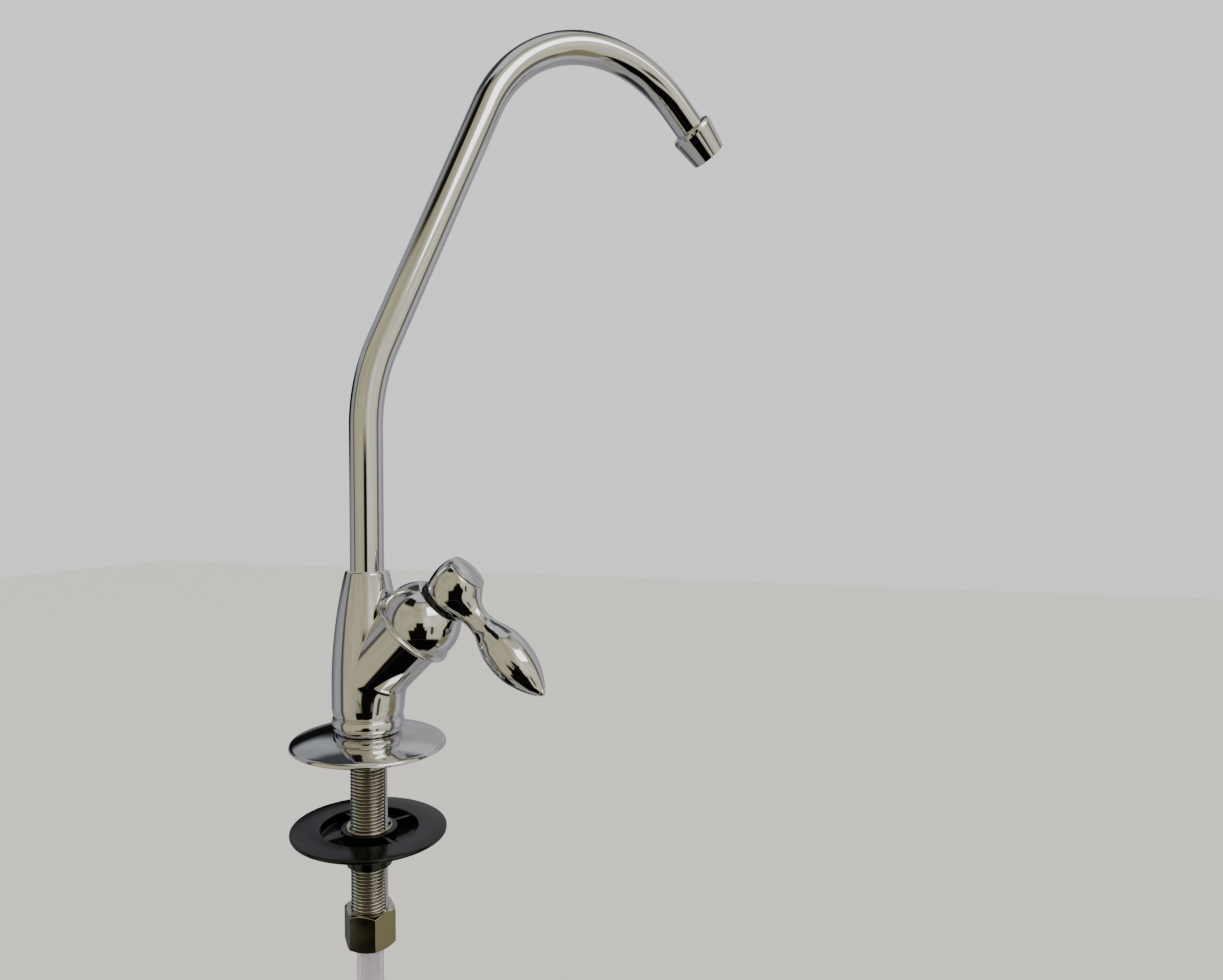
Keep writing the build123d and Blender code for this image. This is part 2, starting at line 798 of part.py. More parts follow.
pieces = {
    "faucet_body": faucet_body(),
    "threaded_shank": threaded_shank(),
    "escutcheon_plate": escutcheon_plate(),
    "escutcheon_gasket": escutcheon_gasket(),
    "mounting_nut": mounting_nut(),
    "nut_insert": nut_insert(),
    "compression_nut": compression_nut(),
    "compression_ferrule": compression_ferrule(),
    "tube_insert": tube_insert(),
    "supply_tube": supply_tube(),
    "cartridge_body": cartridge_body(),
    "cartridge_ring": cartridge_ring(),
    "cartridge_stem": cartridge_stem(),
    "stem_ring": stem_ring(),
    "stem_clip": stem_clip(),
    "disc_seal": disc_seal(),
    "fixed_disc": fixed_disc(),
    "moving_disc": moving_disc(),
    "bonnet_dome": bonnet_dome(),
    "glide_ring": glide_ring(),
    "lever_handle": lever_handle(),
    "handle_screw": handle_screw(),
    "handle_cap": handle_cap(),
    "spout_tube": spout_tube(),
    "spout_spigot": spout_spigot(),
    "spout_ring_lower": spout_ring(spigot_ring_z[0]),
    "spout_ring_upper": spout_ring(spigot_ring_z[1]),
    "spout_clip": spout_clip(),
    "spout_bush": spout_bush(),
    "spout_nozzle": spout_nozzle(),
    "flow_straightener": flow_straightener(),
}

mouth = nozzle_plane()
print("outlet centre, mm:", [round(v, 4) for v in mouth.origin + mouth.z_dir * nozzle_length])
print("outlet direction:", [round(v, 6) for v in mouth.z_dir])
tube_end = supply_path()
print("tube end, mm:", [round(v, 4) for v in tube_end @ 1], [round(v, 6) for v in tube_end % 1])

for name, shape in pieces.items():
    export_step(shape, f"parts/{name}.step")
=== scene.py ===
# %% [markdown]
# # A drinking water faucet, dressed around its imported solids
# The solids hold every size and every fit. This script keeps them where they are, gives each one its
# finish, and swaps the ones that show for finer surfaces worked out from formulas. A bright plated faucet
# is nearly all reflection, so the two things that matter are exact, smooth normals and a good room to
# reflect.

import json
import math

import bmesh
import bpy
import numpy as np
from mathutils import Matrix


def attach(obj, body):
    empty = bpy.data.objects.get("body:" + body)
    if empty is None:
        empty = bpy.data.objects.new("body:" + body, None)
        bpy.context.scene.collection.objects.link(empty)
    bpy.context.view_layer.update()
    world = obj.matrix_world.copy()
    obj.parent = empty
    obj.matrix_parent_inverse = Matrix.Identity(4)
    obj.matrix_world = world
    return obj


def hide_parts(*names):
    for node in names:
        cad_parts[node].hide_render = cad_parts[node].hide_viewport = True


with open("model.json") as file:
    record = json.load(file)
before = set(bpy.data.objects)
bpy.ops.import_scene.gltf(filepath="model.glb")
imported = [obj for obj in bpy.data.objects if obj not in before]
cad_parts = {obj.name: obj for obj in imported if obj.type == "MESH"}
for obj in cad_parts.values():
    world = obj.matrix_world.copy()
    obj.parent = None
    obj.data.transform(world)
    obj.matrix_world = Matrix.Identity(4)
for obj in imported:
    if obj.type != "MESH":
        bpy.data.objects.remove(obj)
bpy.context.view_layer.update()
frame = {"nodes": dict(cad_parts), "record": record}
nodes = frame["nodes"]

# %% [markdown]
# ## Units and small helpers
# The frame is in metres, but a faucet is thought of in millimetres, so sizes are written in millimetres and
# turned into metres when a mesh is made. Colours are written as the hex values a screen shows; the shaders
# want linear light, so one function converts them. Others add a shader node and link it, put a piece of data
# in the scene as an object, and take a mesh from an object with its modifiers applied.

# %% Helpers
MM = 0.001


def linear(hex_colour):
    """Linear RGBA of an sRGB hex colour: below 0.04 a straight line, above it a 2.4 power."""
    srgb = np.array([int(hex_colour[i : i + 2], 16) for i in (1, 3, 5)]) / 255
    rgb = np.where(srgb <= 0.04045, srgb / 12.92, ((srgb + 0.055) / 1.055) ** 2.4)
    return (*rgb.tolist(), 1.0)


def add(tree, kind, inputs=None, **settings):
    """Adds a node of a kind, sets its properties, and sets or links its inputs."""
    node = tree.nodes.new(kind)
    for name, value in settings.items():
        setattr(node, name, value)
    for key, value in (inputs or {}).items():
        if isinstance(value, bpy.types.NodeSocket):
            tree.links.new(value, node.inputs[key])
        else:
            node.inputs[key].default_value = value
    return node


def placed(name, data):
    """A new object with the data given, linked to the scene."""
    thing = bpy.data.objects.new(name, data)
    bpy.context.scene.collection.objects.link(thing)
    return thing


def applied_mesh(thing):
    """Mesh of an object with its modifiers applied."""
    bpy.context.view_layer.update()
    return bpy.data.meshes.new_from_object(thing.evaluated_get(bpy.context.evaluated_depsgraph_get()))


def unit(vectors):
    """The same vectors, each with length one."""
    vectors = np.asarray(vectors, float)
    return vectors / np.linalg.norm(vectors, axis=-1, keepdims=True)


# %% [markdown]
# ## The camera
# The photograph was taken from a hand's height above the counter, a quarter of a metre away, with a wide
# lens. Its vertical lines are nearly straight up, so the picture is a crop: the lens is shifted rather than
# tilted. These values come from matching the outline of the faucet in a frame of 1223 by 980 pixels.

# %% Camera
FRAME_WIDTH = 1223.0
FRAME_HEIGHT = 980.0
FOCAL_PX = 786.2
CENTRE_PX = (511.6, 531.6)
CAMERA_MM = (121.8, -202.6, 74.0)
HEADING = math.radians(110.57)
DIP = math.radians(2.58)
SENSOR_MM = 36.0

lens = bpy.data.cameras.new("camera")
lens.sensor_fit = "HORIZONTAL"
lens.sensor_width = SENSOR_MM
lens.lens = FOCAL_PX / FRAME_WIDTH * SENSOR_MM
lens.shift_x = (FRAME_WIDTH / 2 - CENTRE_PX[0]) / FRAME_WIDTH
lens.shift_y = (CENTRE_PX[1] - FRAME_HEIGHT / 2) / FRAME_WIDTH
lens.clip_start = 0.01
camera = placed("camera", lens)
camera.location = [v * MM for v in CAMERA_MM]
camera.rotation_euler = (math.pi / 2 - DIP, 0, HEADING - math.pi / 2)
bpy.context.scene.camera = camera
print("lens, mm:", round(lens.lens, 2), "shift:", round(lens.shift_x, 4), round(lens.shift_y, 4))

# %% [markdown]
# ## Grids, lathes and sweeps
# Nearly every piece of a faucet is turned on a lathe or bent from tube. Both are grids: one parameter runs
# along a profile or a path, the other runs round. Each helper also works out the true normal at every point
# and stores it in the mesh, because chrome shows the faintest facet.

# %% Mesh helpers
TINY = 1e-6


def mesh_from_grid(name, points, normals, wrap_rows=False):
    """Mesh over a grid of points (rows, columns, 3) in mm, whose columns close on themselves.

    A row whose points all coincide is a pole, so it becomes one point with triangles round it. The faces
    are turned to agree with the normals given, which the mesh keeps as its own.
    """
    rows, columns = points.shape[:2]
    index = np.arange(rows * columns).reshape(rows, columns)
    poles = np.ptp(points, axis=1).max(axis=1) < TINY
    index[poles] = index[poles, :1]
    if wrap_rows:
        index = np.vstack([index, index[:1]])
    index = np.hstack([index, index[:, :1]])
    quads = np.stack([index[:-1, :-1], index[:-1, 1:], index[1:, 1:], index[1:, :-1]], axis=-1)
    quads = quads.reshape(-1, 4)
    low_pole = quads[:, 0] == quads[:, 1]
    high_pole = quads[:, 2] == quads[:, 3]
    flat_points = points.reshape(-1, 3)
    flat_normals = unit(normals.reshape(-1, 3))
    faces = quads[~low_pole & ~high_pole]
    fans = np.vstack([quads[low_pole][:, [0, 2, 3]], quads[high_pole][:, [0, 1, 2]]])
    corner = flat_points[faces]
    facing = np.cross(corner[:, 2] - corner[:, 0], corner[:, 3] - corner[:, 1])
    if np.sum(facing * flat_normals[faces].mean(axis=1)) < 0:
        faces = faces[:, ::-1]
        fans = fans[:, ::-1]
    used, renumbered = np.unique(np.concatenate([faces.ravel(), fans.ravel()]), return_inverse=True)
    faces = renumbered[: faces.size].reshape(-1, 4)
    fans = renumbered[faces.size :].reshape(-1, 3)
    return mesh_with_normals(name, flat_points[used], faces.tolist() + fans.tolist(), flat_normals[used])


def mesh_with_normals(name, points, faces, normals):
    """Smooth mesh of points in mm that keeps the normals given."""
    mesh = bpy.data.meshes.new(name)
    mesh.from_pydata((points * MM).tolist(), [], faces)
    mesh.shade_smooth()
    mesh.normals_split_custom_set_from_vertices(normals.tolist())
    return mesh


def dress(name, mesh, body, slot, material, *replaced):
    """Makes a piece of a mesh: its body, its finish, and the solids that it stands for. The slot given is
    not used.
    """
    piece = placed(name, mesh)
    mesh.materials.append(material)
    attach(piece, body)
    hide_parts(*replaced)
    print(name, "faces:", len(mesh.polygons))
    return piece


def rounded(corners, steps=6):
    """Outline through (radius, height, fillet) corners, filleted: its points and outward normals.

    A fillet of radius f at a turn of angle b starts f tan(b / 2) before the corner. Its normal turns
    evenly from the first side's to the second's, which is what an arc does.
    """
    corners = np.array(corners, float)
    here = corners[:, :2]
    into = unit(here - np.roll(here, 1, axis=0))
    out = np.roll(into, -1, axis=0)
    following = np.roll(here, -1, axis=0)
    side = np.sign(np.sum(here[:, 0] * following[:, 1] - following[:, 0] * here[:, 1]))
    bend = np.arctan2(into[:, 0] * out[:, 1] - into[:, 1] * out[:, 0], np.sum(into * out, axis=1))
    fillet = corners[:, 2]
    start = here - into * (fillet * np.abs(np.tan(bend / 2)))[:, None]
    normal = side * np.stack([into[:, 1], -into[:, 0]], axis=1)
    inward = (np.sign(bend) * side * fillet)[:, None]
    centre = start - inward * normal
    turned = bend[:, None] * np.linspace(0, 1, steps)
    spun = np.stack(
        [
            np.cos(turned) * normal[:, :1] - np.sin(turned) * normal[:, 1:],
            np.sin(turned) * normal[:, :1] + np.cos(turned) * normal[:, 1:],
        ],
        axis=-1,
    )
    points = centre[:, None] + inward[:, None] * spun
    return points.reshape(-1, 2), spun.reshape(-1, 2)


def lathe(name, outline, origin=(0, 0, 0), axis=(0, 0, 1), across=(1, 0, 0), columns=128):
    """Turns an outline, (points, normals) in (radius, height), about an axis.

    Point = origin + radius (cos a across + sin a beside) + height axis, with a from 0 to a full turn.
    """
    profile, slope = outline
    axis = unit(axis)
    across = unit(across)
    beside = np.cross(axis, across)
    a = np.linspace(0, 2 * np.pi, columns, endpoint=False)
    round_way = np.cos(a)[:, None] * across + np.sin(a)[:, None] * beside
    radius, height = profile[:, 0, None, None], profile[:, 1, None, None]
    points = np.array(origin, float) + radius * round_way + height * axis
    normals = slope[:, 0, None, None] * round_way + slope[:, 1, None, None] * axis
    from_axis_to_axis = max(profile[0, 0], profile[-1, 0]) < TINY
    return mesh_from_grid(name, points, normals, wrap_rows=not from_axis_to_axis)


def sweep(name, centres, tangents, sideways, outer, inner, columns, edge=0.08):
    """Tube round a path: each point is the centre plus radius (cos a side + sin a up).

    side is the path's own sideways direction, and up is the tangent crossed with it. The bore runs back
    inside, and both ends are flat rings whose corners are broken by the edge given.
    """
    up = unit(np.cross(tangents, sideways))
    a = np.linspace(0, 2 * np.pi, columns, endpoint=False)
    round_way = np.cos(a)[None, :, None] * sideways[:, None] + np.sin(a)[None, :, None] * up[:, None]
    wall = centres[:, None] + outer * round_way
    bore = centres[:, None] + inner * round_way
    ahead = np.repeat(tangents[:, None], columns, axis=1)

    def ring(end, direction, radius):
        return centres[end, None, None] + direction * edge * ahead[end, None] + radius * round_way[end, None]

    rows = [wall, ring(-1, 1, outer - edge), ring(-1, 1, inner + edge)]
    rows += [bore[::-1], ring(0, -1, inner + edge), ring(0, -1, outer - edge)]
    slopes = [round_way, ahead[-1:], ahead[-1:], -round_way[::-1], -ahead[:1], -ahead[:1]]
    return mesh_from_grid(name, np.concatenate(rows), np.concatenate(slopes), wrap_rows=True)


# %% [markdown]
# ## Plated metal
# The bright pieces are brass or zinc with nickel and a quarter of a micron of chromium on top. Chromium is a
# cool grey mirror that gives back about two thirds of the light. It takes the form of the polished metal
# below it, so the surface isn't perfect: hand polishing leaves waves a few millimetres long that bend the
# reflections, and a very fine haze. Both are drawn here from noise, scaled in millimetres.

# %% Plated metal
METAL = {"Metallic": 1.0}
PATCH_OVER_WAVE = 2.5


def new_material(name):
    material = bpy.data.materials.new(name)
    material.use_nodes = True
    material.node_tree.nodes.clear()
    return material, material.node_tree


def noise_mm(tree, size_mm, detail=2.0, stretch=(1, 1, 1)):
    """Noise on object coordinates whose features are about size_mm across, before any stretch."""
    place = add(tree, "ShaderNodeTexCoord").outputs["Object"]
    scale = tuple(s / (size_mm * MM) for s in stretch)
    sized = add(tree, "ShaderNodeMapping", {"Vector": place, "Scale": scale}).outputs[0]
    noise = add(tree, "ShaderNodeTexNoise", {"Vector": sized, "Scale": 1.0, "Detail": detail})
    return noise.outputs["Fac"]


def between(tree, value, low, high, from_low=0.3, from_high=0.7):
    """Maps a noise value, or any other, to a range of roughness or of any other number."""
    ends = {"Value": value, "From Min": from_low, "From Max": from_high, "To Min": low, "To Max": high}
    return add(tree, "ShaderNodeMapRange", ends).outputs["Result"]


def tinted(tree, colours, factor):
    """Colour between two hex colours, by a factor from 0 to 1."""
    ends = {"Factor": factor, "A": linear(colours[0]), "B": linear(colours[1])}
    return add(tree, "ShaderNodeMix", ends, data_type="RGBA").outputs["Result"]


def surface(tree, colour, haze, height, depth_mm, inputs, strength=1.0):
    """The shader of a finish: its colour, its haze, a relief of a given depth, and what else it needs."""
    relief = {"Height": height, "Strength": strength, "Distance": depth_mm * MM}
    bump = add(tree, "ShaderNodeBump", relief).outputs["Normal"]
    parts = {"Base Color": colour, "Roughness": haze, "Normal": bump, **inputs}
    shader = add(tree, "ShaderNodeBsdfPrincipled", parts)
    add(tree, "ShaderNodeOutputMaterial", {"Surface": shader.outputs[0]})


def plated(name, colours, haze=(0.025, 0.07), wave_mm=5.0, wave_height_mm=0.006):
    """Polished plate: a mirror whose height waves gently and whose haze comes and goes."""
    material, tree = new_material(name)
    waves = noise_mm(tree, wave_mm, detail=1.0)
    patches = noise_mm(tree, PATCH_OVER_WAVE * wave_mm, detail=4.0)
    dull = between(tree, patches, *haze)
    surface(tree, tinted(tree, colours, patches), dull, waves, wave_height_mm, METAL)
    return material


chrome = plated("chromium_plate_polished", ("#DCDCD8", "#D2D2D2"))
spun_chrome = plated("chromium_plate_on_drawn_tube", ("#DCDCD8", "#D2D2D2"), wave_mm=9.0)
nut_plate = plated("nickel_plate_bright", ("#D2CCBC", "#C4BEAE"), haze=(0.05, 0.12), wave_height_mm=0.004)
nickel = plated("nickel_plate_turned", ("#CFCABB", "#B4AD9C"), haze=(0.1, 0.2), wave_mm=2.0)
print("plated finishes:", [m.name for m in (chrome, spun_chrome, nut_plate, nickel)])

# %% [markdown]
# ## Nickel on a rolled thread
# The roots are painted a dark grey, which is painted shade where the flanks hide them, and the crests a
# bright nickel;
# rolling also leaves the roots rougher than the crests, where no buff reaches. The distance from the shank's
# axis tells a crest from a root, so it drives both the painted shade and the haze.

# %% Nickel on a rolled thread
ROOT_R = 4.95
CREST_R = 5.5
SCRATCH_MM = 0.9
SCRATCH_DEPTH_MM = 0.012


def nickel_with_painted_root_shade(name, colours, haze):
    """Nickel whose colour and haze go from the root's to the crest's with the distance from the axis; the
    dark root colour is painted shade.
    """
    material, tree = new_material(name)
    level = {0: add(tree, "ShaderNodeTexCoord").outputs["Object"], 1: (1.0, 1.0, 0.0)}
    flat = add(tree, "ShaderNodeVectorMath", level, operation="MULTIPLY").outputs["Vector"]
    reach = add(tree, "ShaderNodeVectorMath", {0: flat}, operation="LENGTH").outputs["Value"]
    height = between(tree, reach, 0.0, 1.0, ROOT_R * MM, CREST_R * MM)
    scratches = noise_mm(tree, SCRATCH_MM, detail=3.0)
    dull = between(tree, height, *haze, 0.0, 1.0)
    surface(tree, tinted(tree, colours, height), dull, scratches, SCRATCH_DEPTH_MM, METAL)
    return material


# The colour runs from a dark grey in the roots, which is painted shade, to a bright nickel on the crests.
thread_nickel_with_painted_shade = nickel_with_painted_root_shade("nickel_plate_thread_painted_root_shade", ("#4E4B44", "#E4E0D4"), (0.35, 0.12))
print("thread finish:", thread_nickel_with_painted_shade.name)

# %% [markdown]
# ## The other finishes
# Black polypropylene for the flange nut, moulded in a polished tool, so it is glossy but a little uneven.
# Clear polyethylene for the tube: light goes through it and bends, and a faint haze keeps it from looking
# like glass. Inside the faucet are brass, stainless steel, rubber, acetal and a white ceramic; they hardly
# show, but each has the finish of its own making.

# %% Other finishes
CLOUD_OVER_GRAIN = 12
LINE_DEPTH_MM = 0.01
DRAW_LINE_MM = 0.8


def moulded(name, colours, gloss, grain_mm, grain_height_mm, ior=1.5):
    """Plastic, rubber or ceramic: two close colours, a roughness range, and a fine moulded grain."""
    material, tree = new_material(name)
    grain = noise_mm(tree, grain_mm, detail=3.0)
    cloud = noise_mm(tree, CLOUD_OVER_GRAIN * grain_mm, detail=3.0)
    haze = between(tree, cloud, *gloss)
    surface(tree, tinted(tree, colours, cloud), haze, grain, grain_height_mm, {"IOR": ior})
    return material


def turned_metal(name, colours, haze, line_mm):
    """Machined metal: fine tool lines round the piece, drawn as noise pulled out flat."""
    material, tree = new_material(name)
    lines = noise_mm(tree, line_mm, stretch=(0.05, 0.05, 1.0))
    dull = between(tree, lines, *haze)
    surface(tree, tinted(tree, colours, lines), dull, lines, LINE_DEPTH_MM, METAL, strength=0.6)
    return material


def clear_plastic(name, colour, haze):
    """Extruded clear tube: refracts like polyethylene, with a faint haze and faint draw lines."""
    material, tree = new_material(name)
    lines = noise_mm(tree, DRAW_LINE_MM, stretch=(1.0, 1.0, 0.02))
    clear = {"IOR": 1.5, "Transmission Weight": 0.85}
    surface(tree, linear(colour), between(tree, lines, *haze), lines, LINE_DEPTH_MM, clear, strength=0.4)
    return material


black_plastic = moulded(
    "black_polypropylene_moulded", ("#040405", "#080809"), (0.08, 0.18), 0.35, 0.002, ior=1.45
)
glide_plastic = moulded("black_acetal_moulded", ("#050506", "#0A0A0B"), (0.08, 0.18), 0.3, 0.002)
acetal = moulded("natural_acetal_moulded", ("#E4E2DA", "#D9D6CC"), (0.35, 0.5), 0.3, 0.004)
rubber = moulded("nitrile_rubber_moulded", ("#141414", "#1B1B1B"), (0.55, 0.75), 0.15, 0.008)
ceramic = moulded("alumina_lapped", ("#EEECE4", "#E6E3DA"), (0.12, 0.25), 0.1, 0.001, ior=1.76)
brass = turned_metal("brass_turned", ("#C9A765", "#B8934F"), (0.22, 0.4), 0.2)
steel = turned_metal("stainless_steel_plain", ("#B9B9B7", "#A3A3A2"), (0.25, 0.4), 0.15)
clear_tube = clear_plastic("polyethylene_clear_extruded", "#D9D6DE", (0.05, 0.12))
print("finishes in all:", len(bpy.data.materials))

# %% [markdown]
# ## Solids that keep their own shape
# Most of the inner pieces are never seen from outside. Their solids are already right, so they only get
# their finish.

# %% Finishes on the solids
finish_of_slot = {
    **{f"{part}_chrome": chrome for part in ("body", "plate", "bonnet", "handle", "cap", "nozzle")},
    "spout_chrome": spun_chrome,
    "nut_chrome": nut_plate,
    "nickel": nickel,
    "brass": brass,
    "spring_steel": steel,
    "rubber": rubber,
    "black_plastic": black_plastic,
    "white_plastic": acetal,
    "clear_tube": clear_tube,
    "alumina": ceramic,
}
for subpart in frame["record"]["subparts"]:
    solid = nodes[subpart["node"]]
    solid.data.materials.clear()
    solid.data.materials.append(finish_of_slot[subpart["material_slot"]])
print("slots dressed:", len(finish_of_slot))

# %% [markdown]
# ## The supply tube
# Eight millimetre clear tube, pushed into the shank and held by the nut. Under the nut it hangs free for
# nearly two hundred millimetres, with the slight bends that a coil leaves in it, and ends in a square cut.
# Its line is one NURBS curve led by the listed points; the wall is then carried along points read from it.

# %% Supply tube
TUBE_R = 4.0
TUBE_WALL = 1.2
TUBE_TOP_Z = -47.55
TUBE_LEAD_Z = -52.0
tube_route = [
    (0.0, 0.0, -58.0),
    (0.0, 0.0, -84.0),
    (2.2, -0.9, -113.0),
    (1.6, -4.2, -145.0),
    (-4.8, -6.4, -180.0),
    (-13.4, -3.9, -216.0),
    (-19.0, 2.4, -247.0),
]


def route_points(name, route, resolution=16):
    """Points of a NURBS spline with the route's points as its control points, in mm."""
    curve = bpy.data.curves.new(name, "CURVE")
    curve.dimensions = "3D"
    curve.resolution_u = resolution
    spline = curve.splines.new("NURBS")
    spline.points.add(len(route) - 1)
    for point, place in zip(spline.points, route):
        point.co = (*[v * MM for v in place], 1.0)
    spline.order_u = 3
    spline.use_endpoint_u = True
    holder = placed(name, curve)
    line = bpy.data.meshes.new_from_object(holder)
    points = np.array([v.co for v in line.vertices]) / MM
    bpy.data.objects.remove(holder)
    bpy.data.curves.remove(curve)
    bpy.data.meshes.remove(line)
    return points


def path_frames(points, sideways):
    """Tangents by central differences, and a sideways direction kept square to them."""
    tangents = unit(np.gradient(points, axis=0))
    side = np.broadcast_to(np.array(sideways, float), points.shape)
    side = unit(side - np.sum(side * tangents, axis=1, keepdims=True) * tangents)
    return tangents, side


free_line = route_points("tube_route", tube_route)
tube_line = np.vstack([[(0.0, 0.0, TUBE_TOP_Z), (0.0, 0.0, TUBE_LEAD_Z)], free_line])
tube_tangents, tube_side = path_frames(tube_line, (1, 0, 0))
tube_mesh = sweep(
    "supply_tube_wall", tube_line, tube_tangents, tube_side, TUBE_R, TUBE_R - TUBE_WALL, columns=48
)
tube_piece = dress("supply_tube_wall", tube_mesh, "base", "clear_tube", clear_tube, "supply_tube")
tube_length = float(np.sum(np.linalg.norm(np.diff(tube_line, axis=0), axis=1)))
print("supply tube length, mm:", round(tube_length, 1))

# %% [markdown]
# ## The gooseneck spout
# Ten millimetre brass tube, bent over formers and then plated. It stands straight for its first stretch,
# leans out, and comes back down in one long arch. The path is made of the same runs and arcs as the solid's,
# as a heading that turns at a steady rate along each stretch, so the joins are tangent.

# %% Spout path
SPOUT_R = 5.0
SPOUT_WALL = 1.0
SPOUT_AZIMUTH = math.radians(46.9)
SPOUT_SEAT_Z = 44.6
RISE_END_Z = 94.1
FIRST_BEND_R = 61.3
FIRST_BEND = math.radians(24.2)
SLOPE_RUN = 82.6
ARCH_R = 46.0
ARCH_BEND = math.radians(108.0)
TIP_RUN = 8.1
NOZZLE_GRIP = 5.0


def spout_line():
    """Points along the spout in (reach, height), and the heading from upright at each.

    Each stretch is (length, turn, steps). Within it a point at arc length u is start plus the integral of
    (sin h, cos h), with h growing evenly: a straight run where the turn is zero, and otherwise an arc.
    """
    stretches = [
        (RISE_END_Z - SPOUT_SEAT_Z, 0.0, 4),
        (FIRST_BEND_R * FIRST_BEND, FIRST_BEND, 24),
        (SLOPE_RUN, 0.0, 4),
        (ARCH_R * ARCH_BEND, ARCH_BEND, 96),
        (TIP_RUN + NOZZLE_GRIP, 0.0, 4),
    ]
    start = np.array([0.0, SPOUT_SEAT_Z])
    heading = 0.0
    places = [start[None]]
    headings = [np.zeros(1)]
    for length, turn, steps in stretches:
        u = np.linspace(0, 1, steps + 1)[1:]
        h = heading + turn * u
        if turn:
            radius = length / turn
            step = radius * np.stack([np.cos(heading) - np.cos(h), np.sin(h) - np.sin(heading)], axis=1)
        else:
            step = length * u[:, None] * np.array([np.sin(heading), np.cos(heading)])
        places.append(start + step)
        headings.append(h)
        start = places[-1][-1]
        heading = h[-1]
    return np.vstack(places), np.concatenate(headings)


spout_places, spout_headings = spout_line()
outwards = np.array([math.cos(SPOUT_AZIMUTH), math.sin(SPOUT_AZIMUTH), 0.0])
upwards = np.array([0.0, 0.0, 1.0])
spout_side = np.cross(upwards, outwards)
spout_centres = spout_places[:, :1] * outwards + spout_places[:, 1:] * upwards
spout_tangents = np.sin(spout_headings)[:, None] * outwards + np.cos(spout_headings)[:, None] * upwards
spout_sides = np.broadcast_to(spout_side, spout_centres.shape)
spout_mesh = sweep(
    "spout_tube_wall", spout_centres, spout_tangents, spout_sides, SPOUT_R, SPOUT_R - SPOUT_WALL, columns=96
)
dress("spout_tube_wall", spout_mesh, "spout", "spout_chrome", spun_chrome, "spout_tube")
nozzle_axis = spout_tangents[-1]
nozzle_origin = spout_centres[-1] - NOZZLE_GRIP * nozzle_axis
print("nozzle starts at, mm:", nozzle_origin.round(2))

# %% [markdown]
# ## The nozzle
# A small turned sleeve: a rounded shoulder that steps out from the tube, a body that narrows to a square
# mouth, and a seat inside for the plastic straightener.

# %% Nozzle
NOZZLE_LENGTH = 12.0
NOZZLE_R = 7.2
NOZZLE_SHOULDER = 1.9
NOZZLE_MOUTH_R = 5.9
NOZZLE_BORE_R = 4.9
NOZZLE_SLEEVE_R = 5.04
STRAIGHTENER_LOW = 5.8
STRAIGHTENER_HIGH = 8.2
STRAIGHTENER_R = 5.2
nozzle_outline = rounded(
    [
        (NOZZLE_SLEEVE_R, 0.0, 0.1),
        (NOZZLE_SLEEVE_R + 0.5, 0.0, 0.15),
        (NOZZLE_R - 0.35, 0.55, 0.8),
        (NOZZLE_R, NOZZLE_SHOULDER, 0.7),
        (NOZZLE_MOUTH_R, NOZZLE_LENGTH, 0.2),
        (NOZZLE_BORE_R, NOZZLE_LENGTH, 0.15),
        (NOZZLE_BORE_R, STRAIGHTENER_HIGH, 0.05),
        (STRAIGHTENER_R, STRAIGHTENER_HIGH, 0.05),
        (STRAIGHTENER_R, STRAIGHTENER_LOW, 0.05),
        (SPOUT_R - SPOUT_WALL, STRAIGHTENER_LOW, 0.1),
        (SPOUT_R - SPOUT_WALL, NOZZLE_GRIP + 0.15, 0.05),
        (NOZZLE_SLEEVE_R, NOZZLE_GRIP + 0.15, 0.05),
    ]
)
nozzle_mesh = lathe(
    "spout_nozzle_turned", nozzle_outline, nozzle_origin, nozzle_axis, spout_side, columns=112
)
dress("spout_nozzle_turned", nozzle_mesh, "spout", "nozzle_chrome", chrome, "spout_nozzle")

# %% [markdown]
# ## The escutcheon
# A disc stamped from thin sheet: flat under the body, then a low dome that steepens towards the edge, and a
# rolled rim that stands on the counter. The top face is two cubic curves that share a direction where they
# meet, so no reflection breaks there. The under face is the same line one sheet further down.

# %% Escutcheon
PLATE_R = 23.2
PLATE_SHEET = 0.7
PLATE_TOP = 4.05
PLATE_FLAT_R = 9.4
PLATE_RIM_R = 21.7
PLATE_RIM_Z = 1.78
PLATE_RIM_DIP = math.radians(21.0)
PLATE_HOLE_R = 5.956
PLATE_LIP_R = 22.1
PLATE_EDGE_ROUND = 0.25
RIM_PULL = 1.3


def cubic(u, start, start_slope, end, end_slope):
    """Value of the cubic between two ends with the slopes given, for u from 0 to 1."""
    return (
        (2 * u**3 - 3 * u**2 + 1) * start
        + (u**3 - 2 * u**2 + u) * start_slope
        + (3 * u**2 - 2 * u**3) * end
        + (u**3 - u**2) * end_slope
    )


def hermite(start, end, start_slope, end_slope, steps):
    """Cubic curve between two points with the end directions given, and its directions."""
    u = np.linspace(0, 1, steps)[:, None]
    start, end, start_slope, end_slope = (np.array(v, float) for v in (start, end, start_slope, end_slope))
    slopes = (
        (6 * u**2 - 6 * u) * start
        + (3 * u**2 - 4 * u + 1) * start_slope
        + (6 * u - 6 * u**2) * end
        + (3 * u**2 - 2 * u) * end_slope
    )
    return cubic(u, start, start_slope, end, end_slope), unit(slopes)


